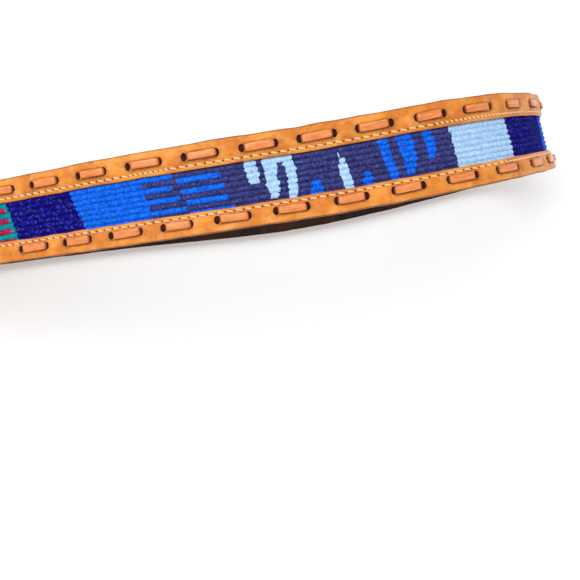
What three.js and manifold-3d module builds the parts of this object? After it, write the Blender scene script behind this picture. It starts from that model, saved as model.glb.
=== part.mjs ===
// A closed leather belt with a woven band, laced borders and a plain buckle, lying on its far strand.
// Millimetres, +X along the belt, +Y across the strap, +Z up.
import * as THREE from 'three';
import { mergeVertices } from 'three/addons/utils/BufferGeometryUtils.js';
import Module from 'manifold-3d';

// Strap: widths run across the strap, walls are thicknesses
const strapWidth = 38;
const backingWall = 1.6;
const bandWall = 0.9;
const webWall = 1;
const upperBorderWidth = 10.6;
const lowerBorderWidth = 9.6;
const lipWidth = 1.6;
const edgeRounding = 0.9;
const gap = 0.3;

// Laces: flat strips in a running stitch
const laceWidth = 3.4;
const laceWall = 0.7;
const laceRoom = 0.4;
const laceInset = 5.2;
const stitchPitch = 24.73;
const stitchSpan = 14.5;
const holeLength = 2.4;
const laceTail = 5;
const upperFirstStitch = 12.5;
const lowerFirstStitch = 22.9;

// The loop that the belt makes, seen from the side, clockwise from the foot of the buckle's slope
const slopeLength = 160;
const slopeAngle = THREE.MathUtils.degToRad(20.4);
const crownLength = 80;
const flatLength = 59;
const shoulderLength = 60;
const shoulderRadius = 88;
const sideLength = 65;
const sideRadius = 130;
const footRadius = 29;
const facetError = 0.16;
const longestFacet = 35;

// The sideways bow of a worn belt, as rises for the first 100 mm from the bow's middle
const bowMiddle = 270;
const bowRise = 3.1;
const bowSkew = 0.83;
const bowReach = 150;
const bowUnit = 100;

// The far strand sways a little from the near one's bow: it dips round a place of its own
const farMiddle = -17;
const farReach = 75;
const farRise = 2;
const farDip = 3.5;

// Leather ends: lengths along the slope, up from its foot or on from the piece before
const barPlace = 64;
const tipBacked = 16;
const tipWall = 3;
const tabWidth = 35;
const tabWall = 1.8;
const tabTaper = 12;
const tabOverlap = 18;
const foldBulge = 2;
const tipReach = 66;
const tipPoint = 20;
const tipBlunt = 0.22;
const tipRelief = 6;
const tipToBand = 7;

// Buckle, keeper and belt holes
const barRadius = 1.5;
const frameReach = 27;
const frameRim = 4;
const frameWall = 3.2;
const frameCorner = 6;
const frameClearance = 2;
const frameToBand = 15;
const prongRadius = 1.4;
const prongOverhang = 3;
const prongLetIn = 0.2;
const prongSlot = 4.4;
const beltHole = 5.8;
const beltHoleLead = 3.7;
const beltHolePitch = 19;
const keeperWidth = 10;
const keeperWall = 1.6;

// Heights above the woven band's outer face, which is the line that the loop follows
const backingTop = -bandWall - gap;
const backingBottom = backingTop - backingWall;
const borderBottom = gap;
const laceUnder = borderBottom + laceWall / 2;
const channelTop = borderBottom + laceWall + laceRoom;
const borderTop = channelTop + webWall;
const laceOver = borderTop + gap + laceWall / 2;
const outerFace = laceOver + laceWall / 2;
const tipFoot = backingTop + gap;
const tabTop = tipFoot + tabWall;
const innerLayerTop = backingBottom - gap;
const tabBottom = innerLayerTop - tabWall;
const barHeight = (tabTop + tabBottom) / 2;
const foldInner = barRadius + gap;
const foldOuter = foldInner + tabWall;
const tipOnTab = tabTop + gap;
const tipOnBar = barHeight + foldOuter + gap;

// Places along the loop that follow from the buckle's bar
const bandStart = barPlace + frameReach + frameToBand;
const tipEnd = barPlace - tipReach;
const prongHole = barPlace + beltHoleLead;

const leather = { color: 0xd98a3e, roughness: 0.55, metalness: 0 };
const lining = { color: 0x4a2a12, roughness: 0.7, metalness: 0 };
const laceLeather = { color: 0xe5945a, roughness: 0.5, metalness: 0 };
const cloth = { color: 0x2a2470, roughness: 0.9, metalness: 0 };
const brass = { color: 0xb08a45, roughness: 0.35, metalness: 1 };

const wasm = await Module();
wasm.setup();

// The loop's stretches in order; the drop on the right and the run along the floor close the loop
function loopStretches() {
  const stretches = [
    { length: slopeLength, turn: 0 },
    { length: crownLength, turn: slopeAngle },
    { length: flatLength, turn: 0 },
    { length: shoulderLength, turn: shoulderLength / shoulderRadius },
    { length: sideLength, turn: sideLength / sideRadius },
  ];
  let heading = slopeAngle;
  let x = 0;
  let z = footRadius * (1 + Math.cos(slopeAngle));
  for (const { length, turn } of stretches) {
    const chord = turn === 0 ? length : (length * Math.sin(turn / 2)) / (turn / 2);
    x += chord * Math.cos(heading - turn / 2);
    z += chord * Math.sin(heading - turn / 2);
    heading -= turn;
  }
  const underTurn = Math.PI + heading;
  const underRadius = z / (1 + Math.cos(heading));
  x += underRadius * Math.sin(heading);
  stretches.push({ length: underRadius * underTurn, turn: underTurn });
  stretches.push({ length: x - footRadius * Math.sin(slopeAngle), turn: 0 });
  const footTurn = Math.PI - slopeAngle;
  stretches.push({ length: footRadius * footTurn, turn: footTurn });
  let start = 0;
  let at = { x: 0, z: footRadius * (1 + Math.cos(slopeAngle)), heading: slopeAngle };
  for (const stretch of stretches) {
    stretch.start = start;
    stretch.from = at;
    start += stretch.length;
    at = along(stretch, stretch.length);
  }
  return stretches;
}

// A point and heading at a distance along one stretch
function along(stretch, distance) {
  const turned = (stretch.turn * distance) / stretch.length;
  const half = turned / 2;
  const chord = half === 0 ? distance : (distance * Math.sin(half)) / half;
  const heading = stretch.from.heading;
  return {
    x: stretch.from.x + chord * Math.cos(heading - half),
    z: stretch.from.z + chord * Math.sin(heading - half),
    heading: heading - turned,
  };
}

const stretches = loopStretches();
const girth = stretches.reduce((sum, stretch) => sum + stretch.length, 0);
const bandEnd = girth + tipEnd - tipToBand;
const bowCentre = loopPoint(bowMiddle).x;
const loopTop = loopPoint(slopeLength + crownLength).z;

// The loop's point and heading at any distance round it
function loopPoint(distance) {
  const wrapped = ((distance % girth) + girth) % girth;
  const stretch = stretches.findLast((each) => each.start <= wrapped);
  return along(stretch, wrapped - stretch.start);
}

// The sideways bow at a place along the belt: a cubic that runs on straight past its reach on the left
function bow(x) {
  const unit = Math.max(x - bowCentre, -bowReach) / bowUnit;
  const past = Math.min(x - bowCentre + bowReach, 0) / bowUnit;
  return bowRise * unit * unit + bowSkew * unit ** 3 + bowSlope(x) * bowUnit * past;
}

function bowSlope(x) {
  const unit = Math.max(x - bowCentre, -bowReach) / bowUnit;
  return (2 * bowRise * unit + 3 * bowSkew * unit * unit) / bowUnit;
}

// What the far strand adds to the bow, which fades out towards the top of the loop
function farSway(x, z) {
  const share = (x - bowCentre - farMiddle) / farReach;
  const low = 1 - z / loopTop;
  return low * low * (farRise - farDip * Math.exp(-share * share));
}

// A point given by its distance round the loop, its place across, square to the bow, and its height
function place(distance, across, height) {
  const { x, z, heading } = loopPoint(distance);
  const px = x - height * Math.sin(heading) - across * bowSlope(x);
  const pz = z + height * Math.cos(heading);
  return new THREE.Vector3(px, across + bow(x) + farSway(x, z), pz);
}

// Facet ends between two distances: closer together where the loop is tighter
function facetEnds(from, to) {
  const ends = [from];
  for (const turnRound of [-girth, 0, girth]) {
    for (const { start, length, turn } of stretches) {
      const radius = turn === 0 ? Infinity : length / turn;
      const facet = Math.min(Math.sqrt(8 * radius * facetError), longestFacet);
      const count = Math.ceil(length / facet);
      for (let i = 0; i < count; i += 1) {
        const end = turnRound + start + (length * i) / count;
        if (end > from + gap && end < to - gap) ends.push(end);
      }
    }
  }
  ends.push(to);
  return ends;
}

// Moves every vertex of a straight extrusion to where the given function puts it
function remap(geometry, toPoint) {
  const position = geometry.getAttribute('position');
  for (let i = 0; i < position.count; i += 1) {
    const point = toPoint(position.getX(i), position.getY(i), position.getZ(i));
    position.setXYZ(i, point.x, point.y, point.z);
  }
  return geometry;
}

function polygon(points) {
  return new THREE.Shape(points.map(([x, y]) => new THREE.Vector2(x, y)));
}

function rectangle(left, right, bottom, top) {
  return polygon([[left, bottom], [right, bottom], [right, top], [left, top]]);
}

function roundSection(radius, sides) {
  const turn = (2 * Math.PI) / sides;
  const corners = Array.from({ length: sides }, (_, i) => i * turn);
  return polygon(corners.map((angle) => [radius * Math.cos(angle), radius * Math.sin(angle)]));
}

// A section swept round the loop; bend may move its points at each facet end
function strip(section, ends, bend = (distance, across, height) => [across, height]) {
  const steps = ends.length - 1;
  const straight = new THREE.ExtrudeGeometry(section, { depth: steps, steps, bevelEnabled: false });
  return remap(straight, (x, y, z) => {
    const distance = ends[Math.round(z)];
    const [across, height] = bend(distance, x, y);
    return place(distance, across, height);
  });
}

// A side profile drawn in distance and height, as wide as the given width
function profile(shape, width) {
  const settings = { depth: width, steps: 1, bevelEnabled: false, curveSegments: 8 };
  return remap(new THREE.ExtrudeGeometry(shape, settings), (x, y, z) => place(x, width / 2 - z, y));
}

function toSolid(geometry) {
  const bare = geometry.clone();
  bare.deleteAttribute('normal');
  bare.deleteAttribute('uv');
  const merged = mergeVertices(bare, 1e-4);
  const vertProperties = Float32Array.from(merged.getAttribute('position').array);
  const triVerts = Uint32Array.from(merged.index.array);
  return new wasm.Manifold(new wasm.Mesh({ numProp: 3, vertProperties, triVerts }));
}

function toGeometry(solid) {
  const mesh = solid.getMesh();
  const geometry = new THREE.BufferGeometry();
  geometry.setAttribute('position', new THREE.BufferAttribute(mesh.vertProperties, 3));
  geometry.setIndex(new THREE.BufferAttribute(mesh.triVerts, 1));
  geometry.computeVertexNormals();
  return geometry;
}

function cut(body, cutters) {
  return toGeometry(cutters.reduce((solid, cutter) => solid.subtract(toSolid(cutter)), toSolid(body)));
}

function join(pieces) {
  return toGeometry(pieces.map(toSolid).reduce((solid, piece) => solid.add(piece)));
}

// A small block that follows the strap, from one distance to another
function block(from, to, left, right, bottom, top) {
  return strip(rectangle(left, right, bottom, top), [from, to]);
}

function backing() {
  const half = strapWidth / 2;
  const edge = backingWall / 3;
  const section = polygon([
    [-half + edge, backingBottom],
    [half - edge, backingBottom],
    [half, backingBottom + edge],
    [half, backingTop],
    [-half, backingTop],
    [-half, backingBottom + edge],
  ]);
  return strip(section, facetEnds(bandStart - tipBacked, bandEnd + tabOverlap));
}

function wovenBand() {
  const half = strapWidth / 2 - lipWidth - gap;
  return strip(rectangle(-half, half, -bandWall, 0), facetEnds(bandStart, bandEnd));
}

// The middles of one row's stitches, from its first to the last that the band has room for
function stitchMiddles(first) {
  const middles = [];
  const room = bandEnd - stitchSpan / 2 - holeLength / 2 - laceTail - 2 * stitchPitch / 3;
  for (let middle = first; middle < room; middle += stitchPitch) middles.push(middle);
  return middles;
}

// One border: rims, a channel for the lace below, a lip over the band's edge, and the lace's holes
function border(side, width, middles) {
  const half = strapWidth / 2;
  const inner = half - width;
  const row = half - laceInset;
  const hole = laceWidth / 2 + gap;
  const channel = hole + gap;
  const lip = half - lipWidth;
  const points = [
    [inner, borderBottom],
    [row - channel, borderBottom],
    [row - channel, channelTop],
    [row + channel, channelTop],
    [row + channel, borderBottom],
    [lip, borderBottom],
    [lip, -bandWall],
    [half, -bandWall],
    [half, borderTop - edgeRounding],
    [half - edgeRounding, borderTop],
    [inner, borderTop],
  ];
  const section = polygon(points.map(([across, height]) => [side * across, height]));
  const cutters = [];
  for (const middle of middles) {
    for (const end of [-1, 1]) {
      const centre = middle + (end * stitchSpan) / 2;
      const [left, right] = [side * row - hole, side * row + hole];
      const [from, to] = [centre - holeLength / 2, centre + holeLength / 2];
      cutters.push(block(from, to, left, right, channelTop - gap, borderTop + gap));
    }
  }
  return cut(strip(section, facetEnds(bandStart, bandEnd)), cutters);
}

// One lace: over the border between each pair of holes and under it to the next pair
function lace(side, middles) {
  const leg = stitchSpan / 2 - holeLength / 2 + gap + laceWall / 2;
  const route = [];
  const run = (from, to, height) => {
    for (const distance of facetEnds(from, to)) {
      const near = Math.min(distance - from, to - distance);
      if (near === 0 || near > 2 * laceWall) route.push({ distance, height });
    }
  };
  let from = middles[0] - leg - laceTail;
  for (const middle of middles) {
    run(from, middle - leg, laceUnder);
    run(middle - leg, middle + leg, laceOver);
    from = middle + leg;
  }
  run(from, from + laceTail, laceUnder);
  const steps = route.length - 1;
  const across = side * (strapWidth / 2 - laceInset);
  const section = rectangle(-laceWidth / 2, laceWidth / 2, -laceWall / 2, laceWall / 2);
  const straight = new THREE.ExtrudeGeometry(section, { depth: steps, steps, bevelEnabled: false });
  return remap(straight, (x, y, z) => {
    const step = Math.round(z);
    const { distance, height } = route[step];
    const before = direction(route, Math.max(step - 1, 0));
    const after = direction(route, Math.min(step, steps - 1));
    const share = y / (1 + before.x * after.x + before.y * after.y);
    const shifted = distance - (before.y + after.y) * share;
    return place(shifted, across + x, height + (before.x + after.x) * share);
  });
}

function direction(route, step) {
  const [here, next] = [route[step], route[step + 1]];
  return new THREE.Vector2(next.distance - here.distance, next.height - here.height).normalize();
}

// The height of the tip's inner face: on the backing, up over the bar, then down on the folded end
function tipFootAt(distance) {
  const past = barPlace - distance;
  const lead = frameReach - frameRim;
  if (past <= -lead) return tipFoot;
  if (past < -foldInner) {
    return THREE.MathUtils.mapLinear(past, -lead, -foldInner, tipFoot, tipOnBar);
  }
  if (past <= foldOuter) return tipOnBar;
  return Math.max(tipOnTab, tipOnBar - (past - foldOuter) / tipRelief);
}

// Half the width of a leather end: tapered from the strap, rounded to a blunt point
function tipHalfWidth(distance) {
  const fromBand = Math.min((bandStart - distance) / tabTaper, 1);
  const half = THREE.MathUtils.lerp(strapWidth, tabWidth, fromBand) / 2;
  const toPoint = (distance - tipEnd) / tipPoint;
  if (toPoint >= 1) return half;
  return half * Math.max(Math.sqrt(1 - (1 - toPoint) ** 2), tipBlunt);
}

// The tip end, with its belt holes cut through
function tipTab() {
  const start = bandStart - gap;
  const ends = [0, 0.1, 0.3, 0.6, 1].map((share) => tipEnd + share * tipPoint);
  ends.push(barPlace - foldOuter - tipRelief * (tipOnBar - tipOnTab));
  ends.push(barPlace - foldOuter, barPlace + foldInner, barPlace + frameReach - frameRim);
  ends.push(start - tabTaper, start);
  ends.sort((a, b) => a - b);
  const bend = (distance, across, height) => [
    across * tipHalfWidth(distance),
    tipFootAt(distance) + height,
  ];
  const body = strip(rectangle(-1, 1, 0, tipWall), ends, bend);
  const cutters = [];
  const last = tipEnd + tipPoint / 2;
  for (let middle = prongHole + beltHolePitch; middle > last; middle -= beltHolePitch) {
    const height = tipFootAt(middle) + tipWall / 2;
    const punch = new THREE.CylinderGeometry(beltHole / 2, beltHole / 2, 3 * tipWall, 10);
    cutters.push(remap(punch, (x, y, z) => place(middle + x, -z, height + y)));
  }
  return cut(body, cutters);
}

// The buckle end: a leather strip folded round the bar, over and under the backing
function buckleTab() {
  const start = bandEnd - girth + gap;
  const bulge = barPlace - foldOuter - foldBulge;
  const flat = facetEnds(start, bulge);
  const shape = new THREE.Shape();
  shape.moveTo(start, tabTop);
  flat.slice(1).forEach((distance) => shape.lineTo(distance, tabTop));
  shape.lineTo(barPlace, barHeight + foldOuter);
  shape.absarc(barPlace, barHeight, foldOuter, Math.PI / 2, -Math.PI / 2, true);
  flat.toReversed().forEach((distance) => shape.lineTo(distance, tabBottom));
  flat.forEach((distance) => shape.lineTo(distance, innerLayerTop));
  shape.lineTo(barPlace, barHeight - foldInner);
  shape.absarc(barPlace, barHeight, foldInner, -Math.PI / 2, Math.PI / 2, false);
  flat.toReversed().forEach((distance) => shape.lineTo(distance, tipFoot));
  const [left, right] = [-prongSlot / 2, prongSlot / 2];
  const [bottom, top] = [barHeight - 2 * foldOuter, barHeight + 2 * foldOuter];
  const slot = block(barPlace - foldOuter, barPlace + 2 * foldOuter, left, right, bottom, top);
  return cut(profile(shape, tabWidth), [slot]);
}

// The keeper: a leather loop round the folded end and the tip, between two belt holes
function keeper() {
  const half = tabWidth / 2 + gap;
  const [bottom, top] = [tabBottom - gap, tipOnTab + tipWall + gap];
  const middle = prongHole - 1.5 * beltHolePitch;
  const [from, to] = [middle - keeperWidth / 2, middle + keeperWidth / 2];
  const outer = half + keeperWall;
  const shape = rectangle(-outer, outer, bottom - keeperWall, top + keeperWall);
  shape.holes.push(rectangle(-half, half, bottom, top));
  return strip(shape, [from, to]);
}

// The prong's side view: from the bar, up through the tip and along to the frame's front
function prongRoute() {
  const rest = frontHeight() + frameWall / 2 + prongRadius - prongLetIn;
  return [
    [barPlace, barHeight],
    [prongHole - prongRadius, tipOnBar - 2 * prongRadius],
    [prongHole + prongRadius / 2, tipOnBar + tipWall],
    [prongHole + 4 * prongRadius, rest],
    [barPlace + frameReach + prongOverhang, rest],
  ];
}

// The height of the frame's front edge, which leans and clears the tip
function frontHeight() {
  const level = tipFoot + tipWall + gap + frameWall / 2;
  const lean = (level - barHeight) / frameReach;
  return level + (lean * frameRim) / 2;
}

// The buckle: a frame with a round bar and a prong, one plain piece
function buckle() {
  const half = tabWidth / 2 + frameClearance;
  const outer = half + frameRim;
  const inside = frameReach - frameRim / 2;
  const front = inside + frameRim;
  const back = -barRadius;
  const curve = frameCorner;
  const tight = frameCorner - frameRim;
  const shape = new THREE.Shape();
  shape.moveTo(back, -outer);
  shape.lineTo(front - curve, -outer);
  shape.absarc(front - curve, -outer + curve, curve, -Math.PI / 2, 0, false);
  shape.absarc(front - curve, outer - curve, curve, 0, Math.PI / 2, false);
  shape.lineTo(back, outer);
  shape.lineTo(back, half);
  shape.lineTo(inside - tight, half);
  shape.absarc(inside - tight, half - tight, tight, Math.PI / 2, 0, true);
  shape.absarc(inside - tight, -half + tight, tight, 0, -Math.PI / 2, true);
  shape.lineTo(back, -half);
  const bevel = frameWall / 4;
  const flat = new THREE.ExtrudeGeometry(shape, {
    depth: frameWall - 2 * bevel,
    bevelEnabled: true,
    bevelSize: bevel,
    bevelOffset: -bevel,
    bevelThickness: bevel,
    bevelSegments: 1,
    curveSegments: 5,
  });
  const lean = Math.atan2(frontHeight() - barHeight, frameReach);
  const frame = remap(flat, (x, y, z) => {
    const rise = z - frameWall / 2 + bevel;
    const distance = barPlace + x * Math.cos(lean) - rise * Math.sin(lean);
    return place(distance, y, barHeight + x * Math.sin(lean) + rise * Math.cos(lean));
  });
  const rod = new THREE.CylinderGeometry(barRadius, barRadius, 2 * half + frameRim, 10);
  const bar = remap(rod, (x, y, z) => place(barPlace + x, y, barHeight + z));
  const route = prongRoute().map(([distance, height]) => place(distance, 0, height));
  const prong = new THREE.ExtrudeGeometry(roundSection(prongRadius, 8), {
    extrudePath: new THREE.CatmullRomCurve3(route, false, 'centripetal'),
    steps: 14,
    bevelEnabled: false,
  });
  return join([frame, bar, prong]);
}

function piece(name, geometry, finish) {
  const mesh = new THREE.Mesh(geometry, new THREE.MeshStandardMaterial(finish));
  mesh.name = name;
  return mesh;
}

const upperMiddles = stitchMiddles(bandStart + upperFirstStitch);
const lowerMiddles = stitchMiddles(bandStart + lowerFirstStitch);

const loop = new THREE.Group();
loop.add(piece('backing', backing(), lining));
loop.add(piece('woven_band', wovenBand(), cloth));
loop.add(piece('upper_border', border(1, upperBorderWidth, upperMiddles), leather));
loop.add(piece('lower_border', border(-1, lowerBorderWidth, lowerMiddles), leather));
loop.add(piece('upper_lace', lace(1, upperMiddles), laceLeather));
loop.add(piece('lower_lace', lace(-1, lowerMiddles), laceLeather));
loop.add(piece('tip_tab', tipTab(), leather));
loop.add(piece('buckle_tab', buckleTab(), leather));
loop.add(piece('keeper', keeper(), leather));
loop.add(piece('buckle', buckle(), brass));

// The belt stands with the middle of its box over the origin and its laces on the floor
const box = new THREE.Box3().setFromObject(loop);
const centre = box.getCenter(new THREE.Vector3());
loop.position.set(-centre.x, -centre.y, outerFace);

const belt = new THREE.Group();
belt.add(loop);

export default belt;
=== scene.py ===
"""Looks of the closed belt: woven band, laced leather borders, leather ends, keeper and buckle.

All sizes inside are millimetres in belt coordinates: distance round the loop, place across the
strap and height above the band's outer face. LoopLine turns them into metres in the part's frame.
"""
import logging
import math
from dataclasses import dataclass, field
from enum import Enum
from functools import partial

import bpy
import numpy as np
from mathutils import Matrix, Vector


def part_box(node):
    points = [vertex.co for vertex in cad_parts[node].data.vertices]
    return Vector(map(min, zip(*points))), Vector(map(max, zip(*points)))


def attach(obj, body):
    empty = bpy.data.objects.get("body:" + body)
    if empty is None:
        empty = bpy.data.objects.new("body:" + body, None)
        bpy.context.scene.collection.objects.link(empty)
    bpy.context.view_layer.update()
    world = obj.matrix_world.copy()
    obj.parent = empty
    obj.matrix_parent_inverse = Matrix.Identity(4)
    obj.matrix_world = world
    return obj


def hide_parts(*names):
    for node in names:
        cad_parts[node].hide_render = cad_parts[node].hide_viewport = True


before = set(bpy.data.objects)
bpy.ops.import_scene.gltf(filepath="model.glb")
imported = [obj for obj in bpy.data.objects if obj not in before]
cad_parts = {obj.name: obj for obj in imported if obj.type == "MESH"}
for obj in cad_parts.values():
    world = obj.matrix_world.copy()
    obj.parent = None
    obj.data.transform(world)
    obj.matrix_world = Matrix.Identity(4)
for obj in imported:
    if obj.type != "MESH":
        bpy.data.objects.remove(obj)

LOG = logging.getLogger("belt")
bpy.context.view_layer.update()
MM = 0.001

STRAP_HALF = 19.0
BAND_START = 106.0
BAND_END = 907.83
INNER_TOP = 8.4  # place across of the band's upper visible edge
INNER_BOTTOM = -9.4  # and of its lower one
BAR_PLACE = 64.0
BAR_HEIGHT = -2.0
END_HALF = 17.5  # half width of both leather ends
TIP_WALL = 3.0
TIP_LAP = -0.9  # height of the tip end's inner face where it lies on the folded end
NO_SEAM = 50.5  # a seam coordinate far from every needle hole
STITCH_STEPS = np.array([0.0, 0.12, 0.5, 0.88, 1.0])  # shares of a stitch where its section is set
ROUND = 180.0  # crease angle past which nothing is sharp


class Side(Enum):
    """The two long edges of the strap."""

    UPPER = 1
    LOWER = -1


class Yarn(Enum):
    """Dyed wool of the woven band, as sRGB."""

    TEAL = "#078E97"
    CRIMSON = "#B02350"
    NAVY = "#100F80"
    BLUE = "#1566EA"
    CHARCOAL = "#3A3E7A"
    PALE = "#A8CDF2"


def linear(hex_colour: str) -> tuple[float, float, float, float]:
    """Turns an sRGB hex colour into linear light.

    Args:
        hex_colour: A colour such as "#AFD2F2".

    Returns:
        Red, green, blue and 1: ((c + 0.055) / 1.055) to the power 2.4, or c / 12.92 near black.
    """
    parts = [int(hex_colour[i : i + 2], 16) / 255 for i in (1, 3, 5)]
    light = [c / 12.92 if c <= 0.04045 else ((c + 0.055) / 1.055) ** 2.4 for c in parts]
    return (*light, 1.0)


def smooth_step(value: np.ndarray, low: float, high: float) -> np.ndarray:
    """Eases from 0 at low to 1 at high: t * t * (3 - 2 t)."""
    share = np.clip((value - low) / (high - low), 0.0, 1.0)
    return share * share * (3 - 2 * share)


def bell(value: np.ndarray, middle: float, reach: float, power: int = 2) -> np.ndarray:
    """A bump of height 1 round a middle: exp(-((value - middle) / reach)^power)."""
    return np.exp(-(((value - middle) / reach) ** power))


def fattened(value: np.ndarray, power: float) -> np.ndarray:
    """A cosine or sine to a power under 1 with its sign kept, which squares a circle's corners."""
    return np.sign(value) * np.abs(value) ** power


def full_turn(count: int) -> np.ndarray:
    """Angles of a section's corners, even round a full turn."""
    return np.linspace(0, 2 * np.pi, count, endpoint=False)


def heading_of(first: np.ndarray, second: np.ndarray) -> tuple[np.ndarray, np.ndarray]:
    """The two parts of a path's unit direction at each of its points."""
    steps = np.gradient(first), np.gradient(second)
    size = np.hypot(*steps)
    return steps[0] / size, steps[1] / size


def wander(distance: np.ndarray, every: float, seed: int) -> np.ndarray:
    """Slow seeded waviness along the belt.

    Args:
        distance: Places along the belt, in mm.
        every: Spacing of the random values, in mm.
        seed: Seed of the random values.

    Returns:
        Values between -1 and 1, eased from each random value to the next.
    """
    values = np.random.default_rng(seed).uniform(-1, 1, 2048)
    place = (distance + 200) / every
    step = np.floor(place).astype(int)
    share = smooth_step(place - step, 0.0, 1.0)
    return values[step % 2048] * (1 - share) + values[(step + 1) % 2048] * share


@dataclass
class LoopLine:
    """The line of the band's outer face: straight stretches and arcs, closed along the floor."""

    foot_radius: float = 29.0
    slope_angle: float = math.radians(20.4)
    stretches: tuple[tuple[float, float], ...] = (
        (160.0, 0.0), (80.0, math.radians(20.4)), (59.0, 0.0), (60.0, 60 / 88), (65.0, 65 / 130),
    )
    bow_place: float = 270.0
    top_place: float = 240.0
    bow_end: float = -150.0
    origin: np.ndarray = field(default_factory=lambda: np.zeros(3))

    def __post_init__(self) -> None:
        """Works out the table of stretches: start, length, turn, x, z and heading of each."""
        rows: list[tuple[float, ...]] = []
        start, x, heading = 0.0, 0.0, self.slope_angle
        z = self.foot_radius * (1 + math.cos(self.slope_angle))
        for length, turn in self.stretches:
            rows.append((start, length, turn, x, z, heading))
            start, x, z, heading = self._past(rows[-1])
        under = z / (1 + math.cos(heading))
        rows.append((start, under * (math.pi + heading), math.pi + heading, x, z, heading))
        start, x, z, heading = self._past(rows[-1])
        rows.append((start, x - self.foot_radius * math.sin(self.slope_angle), 0.0, x, z, heading))
        start, x, z, heading = self._past(rows[-1])
        turn = math.pi - self.slope_angle
        rows.append((start, self.foot_radius * turn, turn, x, z, heading))
        self.table = np.array(rows)
        self.girth = rows[-1][0] + rows[-1][1]
        self.bow_centre = float(self.line(np.array(self.bow_place))[0])
        self.top = float(self.line(np.array(self.top_place))[1])

    @staticmethod
    def _past(row: tuple[float, ...]) -> tuple[float, float, float, float]:
        """The start, x, z and heading after one stretch."""
        start, length, turn, x, z, heading = row
        chord = length * float(np.sinc(turn / 2 / math.pi))
        middle = heading - turn / 2
        end_x, end_z = x + chord * math.cos(middle), z + chord * math.sin(middle)
        return start + length, end_x, end_z, heading - turn

    def line(self, distance: np.ndarray) -> tuple[np.ndarray, np.ndarray, np.ndarray]:
        """Points of the line: the chord of the part of the stretch that is run, at half its turn.

        Args:
            distance: Distances round the loop, in mm.

        Returns:
            x, z and heading at each distance.
        """
        wrapped = np.mod(distance, self.girth)
        row = np.searchsorted(self.table[:, 0], wrapped, side="right") - 1
        start, length, turn, x, z, heading = np.moveaxis(self.table[row], -1, 0)
        along = wrapped - start
        half = turn * along / length / 2
        chord = along * np.sinc(half / np.pi)
        middle = heading - half
        return x + chord * np.cos(middle), z + chord * np.sin(middle), heading - 2 * half

    def sideways(self, x: np.ndarray, z: np.ndarray) -> np.ndarray:
        """The strap's sideways bow, a cubic that runs on straight, plus the far strand's own sway."""
        unit = np.maximum(x - self.bow_centre, self.bow_end) / 100
        past = np.minimum(x - self.bow_centre - self.bow_end, 0)
        bow = 3.1 * unit**2 + 0.83 * unit**3 + self.slant(x) * past
        share = (x - self.bow_centre + 17) / 75
        return bow + (1 - z / self.top) ** 2 * (2 - 3.5 * np.exp(-share * share))

    def slant(self, x: np.ndarray) -> np.ndarray:
        """The bow's slope at x: (6.2 u + 2.49 u^2) / 100, u in hundreds of mm from its middle."""
        unit = np.maximum(x - self.bow_centre, self.bow_end) / 100
        return (6.2 * unit + 2.49 * unit**2) / 100

    def place(self, distance: np.ndarray, across: np.ndarray, height: np.ndarray) -> np.ndarray:
        """Belt coordinates to the part's frame.

        Args:
            distance: Distances round the loop, in mm.
            across: Places across the strap, positive to its upper edge, in mm.
            height: Heights above the band's outer face, in mm.

        Returns:
            Points in metres, with x, y and z on the last axis.
        """
        distance, across, height = np.broadcast_arrays(distance, across, height)
        x, z, heading = self.line(distance)
        along = x - height * np.sin(heading) - across * self.slant(x)
        sides = across + self.sideways(x, z)
        point = np.stack((along, sides, z + height * np.cos(heading)), axis=-1)
        return (point + self.origin) * MM

    @classmethod
    def over_the_frame(cls) -> "LoopLine":
        """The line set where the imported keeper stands, whose eight corners are known exactly."""
        line = cls()
        grid = np.meshgrid((34.2, 44.2), (-19.4, 19.4), (-6.8, 6.1), indexing="ij")
        corners = line.place(*grid).reshape(-1, 3)
        low, high = (np.array(corner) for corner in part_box("keeper"))
        line.origin = ((low + high) - (corners.min(0) + corners.max(0))) / 2 / MM
        return line


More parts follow.
